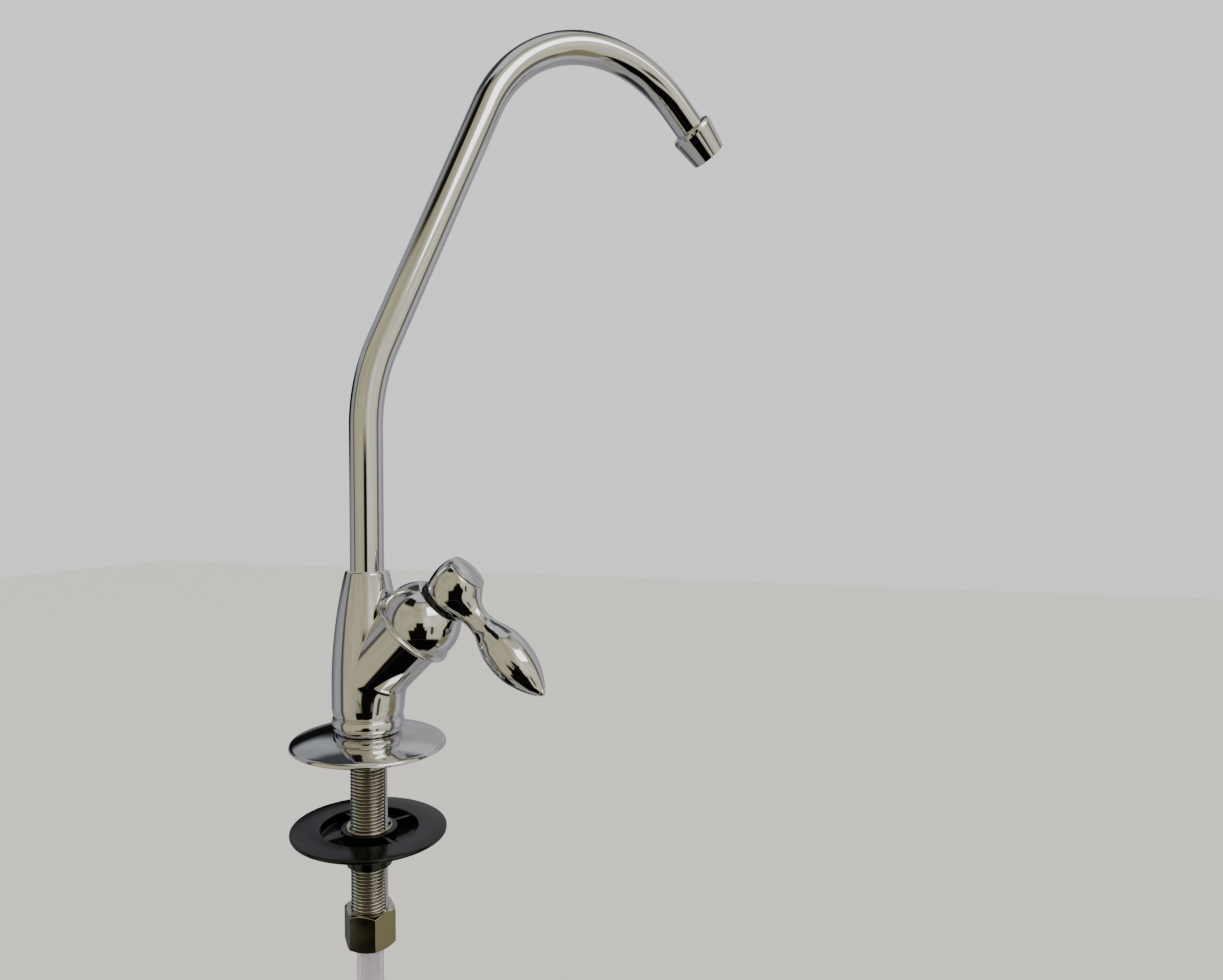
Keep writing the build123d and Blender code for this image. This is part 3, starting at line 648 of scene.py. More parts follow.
def plate_outline():
    """Top face from the hole outwards, the rolled rim, and the under face back to the hole."""
    flat = np.array([[PLATE_HOLE_R + 0.2, PLATE_TOP], [PLATE_FLAT_R, PLATE_TOP]])
    rim_start = np.array([PLATE_RIM_R, PLATE_RIM_Z])
    rim_end = np.array([PLATE_R, PLATE_EDGE_ROUND])
    dip = np.array([math.cos(PLATE_RIM_DIP), -math.sin(PLATE_RIM_DIP)])
    dome_run = np.linalg.norm(rim_start - flat[1])
    rim_run = np.linalg.norm(rim_end - rim_start)
    dome, dome_way = hermite(flat[1], rim_start, (dome_run, 0), dome_run * dip, 40)
    rim, rim_way = hermite(rim_start, rim_end, RIM_PULL * rim_run * dip, (0, -RIM_PULL * rim_run), 14)
    top = np.vstack([flat, dome[1:], rim[1:]])
    top_way = np.vstack([[[1, 0], [1, 0]], dome_way[1:], rim_way[1:]])
    top_normal = np.stack([-top_way[:, 1], top_way[:, 0]], axis=1)
    under = top - PLATE_SHEET * top_normal
    keep = (under[:, 0] < PLATE_LIP_R - 0.1) & (under[:, 1] > 0.15)
    lip = np.array([[PLATE_R - PLATE_EDGE_ROUND, 0.0], [PLATE_LIP_R, 0.0]])
    lip_normal = np.array([[0, -1.0], [-0.3, -1.0]])
    points = np.vstack([top, lip, under[keep][::-1]])
    normals = np.vstack([top_normal, lip_normal, -top_normal[keep][::-1]])
    return points, unit(normals)


plate_mesh = lathe("escutcheon_stamped", plate_outline(), columns=160)
dress("escutcheon_stamped", plate_mesh, "base", "plate_chrome", chrome, "escutcheon_plate")

# %% [markdown]
# ## The bonnet and its glide ring
# The bonnet is turned from bar: a rolled lip at its foot, a dome that is nearly a ball, and a flat on top.
# A black ring lies on the flat, so the handle never rubs the plating.

# %% Valve axis, bonnet and glide ring
VALVE_ORIGIN = np.array([0.0, 0.0, 20.0])
VALVE_TILT = math.radians(45.0)
valve_axis = np.array([math.cos(VALVE_TILT), 0.0, math.sin(VALVE_TILT)])
valve_down = np.array([math.sin(VALVE_TILT), 0.0, -math.cos(VALVE_TILT)])
LIP_R = 12.5
LIP_S = 21.3
LIP_H = 1.3
DOME_R = 11.7
DOME_S = 25.2
DOME_TOP_S = 34.0
BONNET_SKIRT_R = 10.64
BONNET_HOLE_R = 4.3
BONNET_THREAD_R = 5.24
BONNET_THREAD_TOP = 32.1
BONNET_THREAD_LOW = 28.5
BONNET_WALL = 1.2
VALVE_LEG_END = 24.0


def arc_points(centre, radius, start, end, steps):
    """Points of an arc between two angles in degrees, and its outward normals."""
    a = np.radians(np.linspace(start, end, steps))
    way = np.stack([np.cos(a), np.sin(a)], axis=1)
    return np.array(centre) + radius * way, way


def bonnet_outline():
    """Skirt bore, rolled lip, dome and flat outside, then the hole and the hollow inside."""
    lip_half = LIP_H / 2
    lip, lip_way = arc_points((LIP_R - lip_half, LIP_S + lip_half), lip_half, -90, 90, 9)
    low = math.degrees(math.asin((LIP_S + LIP_H + 0.12 - DOME_S) / DOME_R))
    high = math.degrees(math.asin((DOME_TOP_S - 0.15 - DOME_S) / DOME_R))
    dome, dome_way = arc_points((0, DOME_S), DOME_R, low, high, 36)
    shoulder_r = dome[-1, 0] - 0.2
    cavity_r = DOME_R - BONNET_WALL
    cavity_top = math.degrees(math.asin((BONNET_THREAD_LOW - DOME_S) / cavity_r))
    cavity_low = math.degrees(math.asin((VALVE_LEG_END - DOME_S) / cavity_r))
    cavity, cavity_way = arc_points((0, DOME_S), cavity_r, cavity_top - 1, cavity_low, 12)
    joints = np.array(
        [
            (shoulder_r, DOME_TOP_S),
            (BONNET_HOLE_R + 0.15, DOME_TOP_S),
            (BONNET_HOLE_R, DOME_TOP_S - 0.15),
            (BONNET_HOLE_R, BONNET_THREAD_TOP + 0.1),
            (BONNET_THREAD_R, BONNET_THREAD_TOP),
            (BONNET_THREAD_R, BONNET_THREAD_LOW),
            (cavity[0, 0] - 0.2, BONNET_THREAD_LOW),
        ]
    )
    joint_way = np.array([(0.2, 1), (0, 1), (-1, 0), (-1, 0), (-1, -0.5), (-1, 0), (0, -1.0)])
    skirt = np.array(
        [(BONNET_SKIRT_R, VALVE_LEG_END), (BONNET_SKIRT_R, LIP_S + 0.1), (BONNET_SKIRT_R + 0.1, LIP_S)]
    )
    skirt_way = np.array([(-1, 0), (-1, 0), (0, -1.0)])
    points = np.vstack([lip, dome, joints, cavity, skirt])
    normals = np.vstack([lip_way, dome_way, joint_way, -cavity_way, skirt_way])
    return points, unit(normals)


bonnet_mesh = lathe("bonnet_turned", bonnet_outline(), VALVE_ORIGIN, valve_axis, valve_down, columns=160)
dress("bonnet_turned", bonnet_mesh, "base", "bonnet_chrome", chrome, "bonnet_dome")

RING_R = 6.6
RING_H = 1.4
ring_outline = rounded(
    [
        (BONNET_HOLE_R, DOME_TOP_S, 0.1),
        (RING_R, DOME_TOP_S, 0.35),
        (RING_R, DOME_TOP_S + RING_H, 0.35),
        (BONNET_HOLE_R, DOME_TOP_S + RING_H, 0.1),
    ]
)
ring_mesh = lathe("glide_ring_moulded", ring_outline, VALVE_ORIGIN, valve_axis, valve_down, columns=96)
dress("glide_ring_moulded", ring_mesh, "base", "black_plastic", glide_plastic, "glide_ring")

# %% [markdown]
# ## Shapes that melt together
# The body and the handle are castings, where one round form runs into another with a soft fillet. Such a
# form is easiest to write as one formula: a field that is zero on the surface, negative inside, and made by
# blending simple fields with a smooth minimum. A copy of the solid is remeshed evenly, its points are walked
# onto the zero of the field with Newton's method, and the field's slope gives the true normals.

# %% Field helpers
WELD_MM = 0.0005
NEWTON_STEPS = 8
LEAST_FACING = 0.3
LEAST_SLOPE = 0.05


def smooth_min(a, b, soft):
    """The smaller of two fields, with a fillet where they differ by less than soft.

    The fillet is a cube of the nearness, so even the curvature runs on, as a reflection shows.
    """
    h = np.clip(1 - np.abs(a - b) / soft, 0, 1)
    return np.minimum(a, b) - soft * h**3 / 6


def smooth_max(a, b, soft):
    return -smooth_min(-a, -b, soft)


def field_slope(field, points, step=0.01):
    """Gradient of a field by central differences."""
    slopes = []
    for way in np.eye(3):
        slopes.append((field(points + step * way) - field(points - step * way)) / (2 * step))
    return np.stack(slopes, axis=1)


def about_axis(points, origin, axis):
    """Distance along an axis and distance from it."""
    away = points - origin
    along = away @ axis
    return along, np.linalg.norm(away - along[:, None] * axis, axis=1)


def finer_band(mesh, low_mm, high_mm, inner_mm, cuts):
    """Divides the edges whose ends lie between two heights and outside a radius."""
    fine = bmesh.new()
    fine.from_mesh(mesh)
    chosen = []
    for edge in fine.edges:
        places = [v.co / MM for v in edge.verts]
        if all(low_mm < p.z < high_mm and math.hypot(p.x, p.y) > inner_mm for p in places):
            chosen.append(edge)
    bmesh.ops.subdivide_edges(fine, edges=chosen, cuts=cuts, use_grid_fill=True)
    fine.to_mesh(mesh)
    fine.free()


def cast_mesh(name, node, field, voxel_mm, near_mm=1.2, band=None):
    """Even mesh of a solid, with the points near the field's zero moved onto it.

    Newton's step is point minus field times slope over slope squared. Points further than near_mm from
    the zero belong to bores and sockets, and stay where the solid has them. A band that holds a finer
    detail than the voxels is divided first.
    """
    copy = nodes[node].data.copy()
    holder = placed(name, copy)
    weld = holder.modifiers.new("weld", "WELD")
    weld.merge_threshold = WELD_MM * MM
    remesh = holder.modifiers.new("even", "REMESH")
    remesh.mode = "VOXEL"
    remesh.voxel_size = voxel_mm * MM
    even = applied_mesh(holder)
    if band:
        finer_band(even, *band)
    points = np.zeros(len(even.vertices) * 3)
    even.vertices.foreach_get("co", points)
    points = points.reshape(-1, 3) / MM
    plain = np.zeros(len(even.vertices) * 3)
    even.vertex_normals.foreach_get("vector", plain)
    plain = plain.reshape(-1, 3)
    near = np.abs(field(points)) < near_mm
    near &= np.sum(plain * unit(field_slope(field, points)), axis=1) > LEAST_FACING
    moved = points[near]
    for _ in range(NEWTON_STEPS):
        slope = field_slope(field, moved)
        moved = moved - (field(moved) / np.maximum(np.sum(slope**2, axis=1), LEAST_SLOPE))[:, None] * slope
    points[near] = moved
    even.vertices.foreach_set("co", (points * MM).ravel())
    even.update()
    even.vertex_normals.foreach_get("vector", plain.reshape(-1))
    normals = plain.copy()
    normals[near] = unit(field_slope(field, moved))
    even.shade_smooth()
    even.materials.clear()
    even.normals_split_custom_set_from_vertices(normals.tolist())
    even.name = name
    bpy.data.objects.remove(holder)
    bpy.data.meshes.remove(copy)
    print(name, "points on the field:", int(near.sum()), "of", len(points))
    return even


# %% [markdown]
# ## The body
# One brass casting in the shape of a Y. The upright narrows along a long curve. At its foot is a turned bead
# with a fine groove above it, and its top edge is a little rounded. The valve leg is a plain cylinder at
# forty-five degrees. They meet in a crisp crease above, and in a soft hollow below, where the sand mould
# needed one.

# %% Body
BASE_R = 10.7
FOOT_Z = 4.05
BEAD_CENTRE_R = 7.03
BEAD_Z = 7.07
BEAD_R = 3.72
GROOVE_Z = 9.05
GROOVE_HALF = 0.3
GROOVE_FLOOR_R = 10.0
ROLL_IN = 0.35
ROLL_H = 2.9
TAPER_Z = 17.0
TAPER_REACH = 0.9
ROLL_REACH = 0.5
LEG_TOP_Z = 51.9
LEG_TOP_R = 6.5
LEG_TOP_ROUND = 0.4
VALVE_LEG_R = 10.6
CREASE_WIDTH = 0.35
HOLLOW_WIDTH = 9.0
HOLLOW_START_Z = 23.0
HOLLOW_FULL_Z = 10.0
SPOT_SIDE_GAP = 0.04
SPOT_FACE_GAP = 0.05
SPOT_SOFT = 0.2
VALVE_LEG_SOFT = 0.3
GROOVE_SOFT = 0.12
FOOT_SOFT = 0.5
FINE_HALF = 0.6
FINE_INNER_R = 9.0
FINE_CUTS = 3


def arc_of_chord(rise, narrowing):
    """Radius of the arc that leaves a straight line and moves in by narrowing over a rise."""
    return (rise**2 + narrowing**2) / (2 * narrowing)


def upright_field(points):
    """Distance from the turned upright: a bead at the foot, a groove, and a side that is made of arcs."""
    z = points[:, 2]
    rho = np.hypot(points[:, 0], points[:, 1])
    taper_r = arc_of_chord(LEG_TOP_Z - TAPER_Z, BASE_R - LEG_TOP_R)
    above = np.clip(z - TAPER_Z, 0, TAPER_REACH * taper_r)
    roll_r = arc_of_chord(ROLL_H, ROLL_IN)
    under = np.clip(GROOVE_Z + GROOVE_HALF + ROLL_H - z, 0, ROLL_REACH * roll_r)
    side = BASE_R - taper_r + np.sqrt(taper_r**2 - above**2) - roll_r + np.sqrt(roll_r**2 - under**2)
    leg = (rho - side) * np.sqrt(1 - (above / taper_r) ** 2)
    bead = np.hypot(rho - BEAD_CENTRE_R, z - BEAD_Z) - BEAD_R
    field = np.where(z > GROOVE_Z, leg, bead)
    groove = GROOVE_HALF - np.hypot(rho - (GROOVE_FLOOR_R + GROOVE_HALF), z - GROOVE_Z)
    field = smooth_max(field, groove, GROOVE_SOFT)
    field = smooth_max(field, FOOT_Z - z, FOOT_SOFT)
    return smooth_max(field, z - LEG_TOP_Z, 2.0 * LEG_TOP_ROUND)


def body_field(points):
    """Upright, cut by the bonnet's spot face, joined to the valve leg with a fillet that grows downwards.

    The fillet is as wide as given wherever it runs: its softness is the width times the difference of the
    two slopes, which is the root of 2 - 2 cos of the angle between them.
    """
    along, away = about_axis(points, VALVE_ORIGIN, valve_axis)
    spot_face = np.maximum(away - (LIP_R + SPOT_SIDE_GAP), LIP_S - SPOT_FACE_GAP - along)
    upright = smooth_max(upright_field(points), -spot_face, SPOT_SOFT)
    leg = smooth_max(away - VALVE_LEG_R, along - VALVE_LEG_END, VALVE_LEG_SOFT)
    leg = np.maximum(leg, -along)
    from_valve = unit(points - VALVE_ORIGIN - along[:, None] * valve_axis)
    from_upright = unit(points * np.array([1, 1, 0]))
    apart = np.sqrt(np.maximum(2 - 2 * np.sum(from_valve * from_upright, axis=1), 1e-4))
    low = np.clip((HOLLOW_START_Z - points[:, 2]) / (HOLLOW_START_Z - HOLLOW_FULL_Z), 0, 1)
    width = CREASE_WIDTH + (HOLLOW_WIDTH - CREASE_WIDTH) * low**2 * (3 - 2 * low)
    return smooth_min(upright, leg, width * apart)


groove_band = (GROOVE_Z - FINE_HALF, GROOVE_Z + FINE_HALF, FINE_INNER_R, FINE_CUTS)
body_mesh = cast_mesh("faucet_body_cast", "faucet_body", body_field, voxel_mm=0.3, band=groove_band)
dress("faucet_body_cast", body_mesh, "base", "body_chrome", chrome, "faucet_body")

# %% [markdown]
# ## The handle
# Hub and lever are one zinc casting. The hub is a little barrel; the lever leaves it square to the valve
# axis, narrows to a neck, swells to a bulb and runs out in a blunt point, like a teardrop.

# %% Handle
HUB_LOW = 35.45
HUB_HIGH = 45.95
HUB_PROFILE = [(HUB_LOW, 6.15), (38.0, 6.75), (40.9, 7.0), (43.5, 6.75), (45.0, 6.25), (HUB_HIGH, 5.65)]
LEVER_S = 38.7
LEVER_LENGTH = 39.4
LEVER_PROFILE = [
    (0.0, 3.6),
    (7.0, 3.5),
    (9.8, 3.3),
    (14.0, 3.6),
    (17.5, 4.95),
    (21.5, 6.1),
    (25.5, 6.35),
    (29.0, 5.95),
    (32.5, 4.85),
    (36.0, 3.15),
    (38.5, 1.45),
    (LEVER_LENGTH, 0.75),
]
LEVER_TIP_R = 1.2
LEVER_ROOT_SOFT = 8.0
HUB_RIM_SOFT = 0.6
HUB_FOOT_SOFT = 0.4
FOOT_CUT_END = 6.0
FOOT_CUT_FALL = 2.0


def smooth_profile(table, at):
    """Cubic through the points of a profile, with slopes that never overshoot, and level past its ends."""
    x, y = np.array(table, float).T
    width = np.diff(x)
    rise = np.diff(y) / width
    slope = np.empty_like(y)
    slope[0], slope[-1] = rise[0], rise[-1]
    both = rise[:-1] * rise[1:]
    weight = width[1:] + 2 * width[:-1], 2 * width[1:] + width[:-1]
    total = weight[0] + weight[1]
    safe = np.where(both > 0, both, 1.0)
    inner = total * safe / (weight[0] * rise[1:] + weight[1] * rise[:-1] + (both <= 0))
    slope[1:-1] = np.where(both > 0, inner, 0.0)
    cell = np.clip(np.searchsorted(x, at) - 1, 0, len(width) - 1)
    u = np.clip((at - x[cell]) / width[cell], 0, 1)
    h = width[cell]
    return cubic(u, y[cell], h * slope[cell], y[cell + 1], h * slope[cell + 1])


def handle_field(points):
    """Barrel about the valve axis, joined softly to the lever about its own axis."""
    along, away = about_axis(points, VALVE_ORIGIN, valve_axis)
    hub = away - smooth_profile(HUB_PROFILE, along)
    hub = smooth_max(hub, HUB_LOW - along, HUB_FOOT_SOFT)
    hub = smooth_max(hub, along - HUB_HIGH, HUB_RIM_SOFT)
    out, aside = about_axis(points, VALVE_ORIGIN + LEVER_S * valve_axis, valve_down)
    tip_start = LEVER_LENGTH - LEVER_TIP_R
    tip = np.hypot(aside, np.maximum(out - tip_start, 0)) - LEVER_TIP_R
    lever = np.where(out > tip_start, tip, aside - smooth_profile(LEVER_PROFILE, out))
    lever = np.maximum(lever, -out)
    casting = smooth_min(hub, lever, LEVER_ROOT_SOFT)
    foot_cut = HUB_LOW - along - np.maximum(out - FOOT_CUT_END, 0) * FOOT_CUT_FALL
    casting = smooth_max(casting, foot_cut, HUB_FOOT_SOFT)
    return smooth_max(casting, along - HUB_HIGH, HUB_RIM_SOFT)


handle_mesh = cast_mesh("lever_handle_cast", "lever_handle", handle_field, voxel_mm=0.25)
dress("lever_handle_cast", handle_mesh, "valve_stem", "handle_chrome", chrome, "lever_handle")

CAP_R = 5.8
CAP_EDGE = 0.5
CAP_CROWN = 0.9
CAP_PLUG_R = 4.56
CAP_PLUG_H = 0.7
CAP_UNDERCUT = 0.3


def cap_outline():
    """Plug, flat rim, sharp edge and a crown that is part of a large ball."""
    ball_r = (CAP_R**2 + CAP_CROWN**2) / (2 * CAP_CROWN)
    ball_s = HUB_HIGH + CAP_EDGE + CAP_CROWN - ball_r
    edge_angle = math.degrees(math.acos((CAP_R - 0.12) / ball_r))
    crown, crown_way = arc_points((0, ball_s), ball_r, edge_angle, 90, 16)
    plug = np.array(
        [
            (0, HUB_HIGH - CAP_PLUG_H),
            (CAP_PLUG_R - 0.1, HUB_HIGH - CAP_PLUG_H),
            (CAP_PLUG_R, HUB_HIGH - CAP_PLUG_H + 0.1),
            (CAP_PLUG_R, HUB_HIGH - 0.02),
            (CAP_R - CAP_UNDERCUT, HUB_HIGH),
            (CAP_R - 0.02, HUB_HIGH + CAP_UNDERCUT),
            (CAP_R, HUB_HIGH + CAP_EDGE - 0.05),
        ]
    )
    plug_way = np.array([(0, -1), (0, -1), (1, 0), (1, -0.2), (0.7, -1), (1, -0.3), (1, 0.1)])
    return np.vstack([plug, crown]), unit(np.vstack([plug_way, crown_way]))


cap_mesh = lathe("handle_cap_turned", cap_outline(), VALVE_ORIGIN, valve_axis, valve_down, columns=112)
dress("handle_cap_turned", cap_mesh, "valve_stem", "cap_chrome", chrome, "handle_cap")

# %% [markdown]
# ## The threaded shank
# Seven sixteenths of an inch across, twenty-four threads to the inch, rolled and then nickel plated. The
# surface is one grid: rows follow the thread's phase, so each crest, flank and root gets its own rows, and
# one turn round lifts the grid by one pitch. Rolled crests are a little rounded and so are the roots.

# %% Shank
SHANK_R = 5.556
SHANK_BORE_R = 3.2
SHANK_END_Z = -55.0
SHANK_TOP_Z = 15.0
SOCKET_R = 4.15
SOCKET_TOP_Z = -47.0
INCH = 25.4
THREADS_PER_INCH = 24
PITCH = INCH / THREADS_PER_INCH
DEPTH_OVER_PITCH = 0.61
THREAD_DEPTH = DEPTH_OVER_PITCH * PITCH
THREAD_SHAPE = [(0.0, 0.0), (0.09, 0.06), (0.38, 0.9), (0.46, 1.0), (0.54, 1.0), (0.62, 0.9), (0.91, 0.06)]
END_CHAMFER = 0.8


def thread_grid(columns=80):
    """Heights, radii and turns: radius = crest less depth times shape, inside the end chamfers."""
    turns = int((SHANK_TOP_Z - SHANK_END_Z) / PITCH) + 2
    phase, depth = np.array(THREAD_SHAPE).T
    lift = (np.arange(turns)[:, None] + phase).ravel()
    cut = np.tile(depth, turns)
    a = np.linspace(0, 1, columns, endpoint=False)
    z = SHANK_END_Z - PITCH + (lift[:, None] + a) * PITCH
    z = np.clip(z, SHANK_END_Z, SHANK_TOP_Z)
    radius = SHANK_R - THREAD_DEPTH * np.repeat(cut[:, None], columns, axis=1)
    room = np.minimum(z - SHANK_END_Z, SHANK_TOP_Z - z)
    radius = np.minimum(radius, SHANK_R - END_CHAMFER + room)
    return z, radius, a


def shank_mesh(name):
    """Thread outside, bore inside, and the stepped socket at the lower end, as one closed grid."""
    z, radius, a = thread_grid()
    turn = 2 * np.pi * a
    inner = [
        (SHANK_BORE_R + 0.3, SHANK_TOP_Z),
        (SHANK_BORE_R, SHANK_TOP_Z - 0.3),
        (SHANK_BORE_R, SOCKET_TOP_Z + 0.05),
        (SHANK_BORE_R + 0.05, SOCKET_TOP_Z),
        (SOCKET_R - 0.05, SOCKET_TOP_Z),
        (SOCKET_R, SOCKET_TOP_Z - 0.05),
        (SOCKET_R, SHANK_END_Z + END_CHAMFER),
        (SHANK_R - END_CHAMFER - 0.12, SHANK_END_Z),
    ]
    bore_r, bore_z = np.array(inner).T
    bore_r = np.repeat(bore_r[:, None], len(a), axis=1)
    bore_z = np.repeat(bore_z[:, None], len(a), axis=1)
    z = np.vstack([z, bore_z])
    radius = np.vstack([radius, bore_r])
    points = np.stack([radius * np.cos(turn), radius * np.sin(turn), z], axis=-1)
    rough = np.stack([np.cos(turn) + 0 * z, np.sin(turn) + 0 * z, 0 * z], axis=-1)
    rough[-len(inner) :] *= -1
    return mesh_from_grid(name, points, rough, wrap_rows=True)


def plain_shading(mesh, angle):
    """Drops stored normals, joins points that coincide, and keeps only real edges sharp."""
    fresh = bmesh.new()
    fresh.from_mesh(mesh)
    bmesh.ops.remove_doubles(fresh, verts=fresh.verts, dist=TINY)
    bmesh.ops.dissolve_degenerate(fresh, edges=fresh.edges, dist=TINY)
    bmesh.ops.recalc_face_normals(fresh, faces=fresh.faces)
    clean = bpy.data.meshes.new(mesh.name)
    fresh.to_mesh(clean)
    fresh.free()
    stored = clean.attributes.get("custom_normal")
    if stored:
        clean.attributes.remove(stored)
    bpy.data.meshes.remove(mesh)
    clean.shade_smooth()
    clean.set_sharp_from_angle(angle=math.radians(angle))
    return clean


def break_edges(piece, width_mm, angle):
    """A small bevel on every edge that turns by more than the angle."""
    edges = piece.modifiers.new("broken_edges", "BEVEL")
    edges.width = width_mm * MM
    edges.segments = 2
    edges.limit_method = "ANGLE"
    edges.angle_limit = math.radians(angle)


shank_piece_mesh = plain_shading(shank_mesh("threaded_shank_rolled"), angle=50.0)
dress("threaded_shank_rolled", shank_piece_mesh, "base", "nickel", thread_nickel_with_painted_shade, "threaded_shank")

# %% [markdown]
# ## The flange nut
# Moulded in black polypropylene: a wide thin flange, a round pocket that saves plastic, four ribs across the
# pocket, and a hub round a threaded metal insert whose lip shows as a bright ring. The turned form is a
# lathe; the ribs are joined to it with a Boolean, and a small Bevel breaks their edges, as a mould does.

# %% Flange nut
FLANGE_Z = -25.1
FLANGE_R = 23.3
FLANGE_T = 1.1
POCKET_OUT_R = 14.6
POCKET_IN_R = 8.4
POCKET_DEPTH = 3.4
POCKET_WALL = 1.0
POCKET_SLOPE = 0.6
HUB_BORE_R = 6.09
HUB_LOW_R = 6.9
HUB_LENGTH = 11.2
INSERT_R = 6.05
INSERT_LIP_R = 7.0
INSERT_LIP_H = 0.5
INSERT_RIM_W = 0.45
INSERT_SINK = 0.7
NUT_BORE_R = 5.616
RIB_T = 1.1
RIB_DROP = 0.5
RIB_COUNT = 4
RIB_TURN = 60.5


def solid_blocks(name, blocks):
    """Mesh of separate closed boxes, each given by its eight corners in the order of a binary count."""
    sides = [(0, 1, 3, 2), (4, 6, 7, 5), (0, 4, 5, 1), (2, 3, 7, 6), (0, 2, 6, 4), (1, 5, 7, 3)]
    mesh = bpy.data.meshes.new(name)
    faces = [tuple(8 * i + corner for corner in side) for i in range(len(blocks)) for side in sides]
    mesh.from_pydata((np.concatenate(blocks) * MM).tolist(), [], faces)
    return mesh


def rib_block(turn):
    """One rib across the pocket, with its ends inside the two walls and its foot inside the floor."""
    x = np.array([POCKET_IN_R - 0.5, POCKET_OUT_R + 0.5])
    y = np.array([-RIB_T / 2, RIB_T / 2])
    z = np.array([FLANGE_Z - POCKET_DEPTH - 0.4, FLANGE_Z - RIB_DROP])
    corners = np.stack(np.meshgrid(x, y, z, indexing="ij"), axis=-1).reshape(-1, 3)
    c, s = math.cos(turn), math.sin(turn)
    return corners @ np.array([[c, s, 0], [-s, c, 0], [0, 0, 1.0]])


def joined(name, mesh, extra):
    """Union of two closed meshes by an exact Boolean."""
    main = placed(name, mesh)
    other = placed(name + "_extra", extra)
    union = main.modifiers.new("union", "BOOLEAN")
    union.operation = "UNION"
    union.solver = "EXACT"
    union.object = other
    result = applied_mesh(main)
    for thing in (main, other):
        bpy.data.objects.remove(thing)
    return result


flange_floor = FLANGE_Z - POCKET_DEPTH
flange_low = FLANGE_Z - HUB_LENGTH
flange_outline = rounded(
    [
        (HUB_BORE_R, flange_low, 0.2),
        (HUB_LOW_R, flange_low, 0.3),
        (HUB_LOW_R, flange_floor - POCKET_WALL, 0.4),
        (POCKET_OUT_R + POCKET_WALL, flange_floor - POCKET_WALL + POCKET_SLOPE, 0.5),
        (POCKET_OUT_R + POCKET_WALL, FLANGE_Z - FLANGE_T, 0.4),
        (FLANGE_R, FLANGE_Z - FLANGE_T, 0.3),
        (FLANGE_R, FLANGE_Z, 0.35),
        (POCKET_OUT_R, FLANGE_Z, 0.25),
        (POCKET_OUT_R, flange_floor + POCKET_SLOPE, 0.4),
        (POCKET_IN_R, flange_floor, 0.4),
        (POCKET_IN_R, FLANGE_Z, 0.25),
        (HUB_BORE_R, FLANGE_Z, 0.05),
    ]
)
flange_mesh = lathe("flange_nut_turned", flange_outline, columns=144)
rib_blocks = [rib_block(math.radians(RIB_TURN + 360 / RIB_COUNT * i)) for i in range(RIB_COUNT)]
flange_mesh = joined("flange_nut_moulded", flange_mesh, solid_blocks("ribs", rib_blocks))
flange_mesh = plain_shading(flange_mesh, angle=32.0)
flange_piece = dress(
    "flange_nut_moulded", flange_mesh, "clamp_nut", "black_plastic", black_plastic, "mounting_nut"
)
break_edges(flange_piece, width_mm=0.15, angle=50.0)

insert_outline = rounded(
    [
        (NUT_BORE_R, flange_low, 0.15),
        (INSERT_R, flange_low, 0.05),
        (INSERT_R, FLANGE_Z, 0.02),
        (INSERT_LIP_R, FLANGE_Z, 0.05),
        (INSERT_LIP_R, FLANGE_Z + INSERT_LIP_H, 0.38),
        (INSERT_LIP_R - INSERT_RIM_W, FLANGE_Z + INSERT_LIP_H, 0.12),
        (NUT_BORE_R, FLANGE_Z + INSERT_LIP_H - INSERT_SINK, 0.15),
    ]
)
insert_mesh = lathe("nut_insert_turned", insert_outline, columns=112)
dress("nut_insert_turned", insert_mesh, "clamp_nut", "nickel", nickel, "nut_insert")

# %% [markdown]
# ## The compression nut
# Cut from fourteen millimetre hexagon bar, chamfered at both ends, and plated. Where a chamfer's cone meets
# a flat it leaves a curved edge, at the height where the cone's radius equals the hexagon's. The rows of the
# grid follow that curve, so the edge is clean.

# %% Compression nut
HEX_FLATS = 14.0
HEX_TOP_Z = -49.6
HEX_H = 11.0
HEX_TURN = math.radians(-47.9)
HEX_CHAMFER = math.radians(30.0)
HEX_FLOOR = 2.0
HEX_FACE_R = HEX_FLATS / 2 - 0.1
HEX_COLUMNS = 144


def hex_nut_mesh(name):
    """Rows: bore, top face, chamfer edge, flats, chamfer edge, bottom face, tube hole, chamber floor.

    A flat at angle a from its middle is at radius (flats / 2) / cos a, and the cone meets it
    (radius - face radius) tan(chamfer) away from the end face.
    """
    low = HEX_TOP_Z - HEX_H
    a = np.arange(HEX_COLUMNS) * 2 * np.pi / HEX_COLUMNS
    across = (a + 1e-9) % (np.pi / 3) - np.pi / 6
    hexagon = HEX_FLATS / 2 / np.cos(across)
    drop = (hexagon - HEX_FACE_R) * math.tan(HEX_CHAMFER)
    level = np.ones(HEX_COLUMNS)
    rows = [
        (NUT_BORE_R * level, HEX_TOP_Z * level),
        (HEX_FACE_R * level, HEX_TOP_Z * level),
        (hexagon, HEX_TOP_Z - drop),
        (hexagon, low + drop),
        (HEX_FACE_R * level, low * level),
        (SOCKET_R * level, low * level),
        (SOCKET_R * level, (low + HEX_FLOOR) * level),
        (NUT_BORE_R * level, (low + HEX_FLOOR) * level),
    ]
    radius = np.array([r for r, z in rows])
    z = np.array([z for r, z in rows])
    turn = a + HEX_TURN
    points = np.stack([radius * np.cos(turn), radius * np.sin(turn), z], axis=-1)
    rough = points * np.array([1, 1, 0])
    rough[[0, 6, 7]] *= -1
    return mesh_from_grid(name, points, rough + np.array([0, 0, TINY]), wrap_rows=True)


hex_mesh = plain_shading(hex_nut_mesh("compression_nut_hexagon"), angle=24.0)
hex_piece = dress("compression_nut_hexagon", hex_mesh, "base", "nut_chrome", nut_plate, "compression_nut")
break_edges(hex_piece, width_mm=0.07, angle=24.0)

# %% [markdown]
# ## Floor and lamp
# The floor is a plain pale sheet under the tube's end. One broad soft lamp from above gives the dull pieces
# their form. Neither shows in the plated pieces, which only mirror the room.

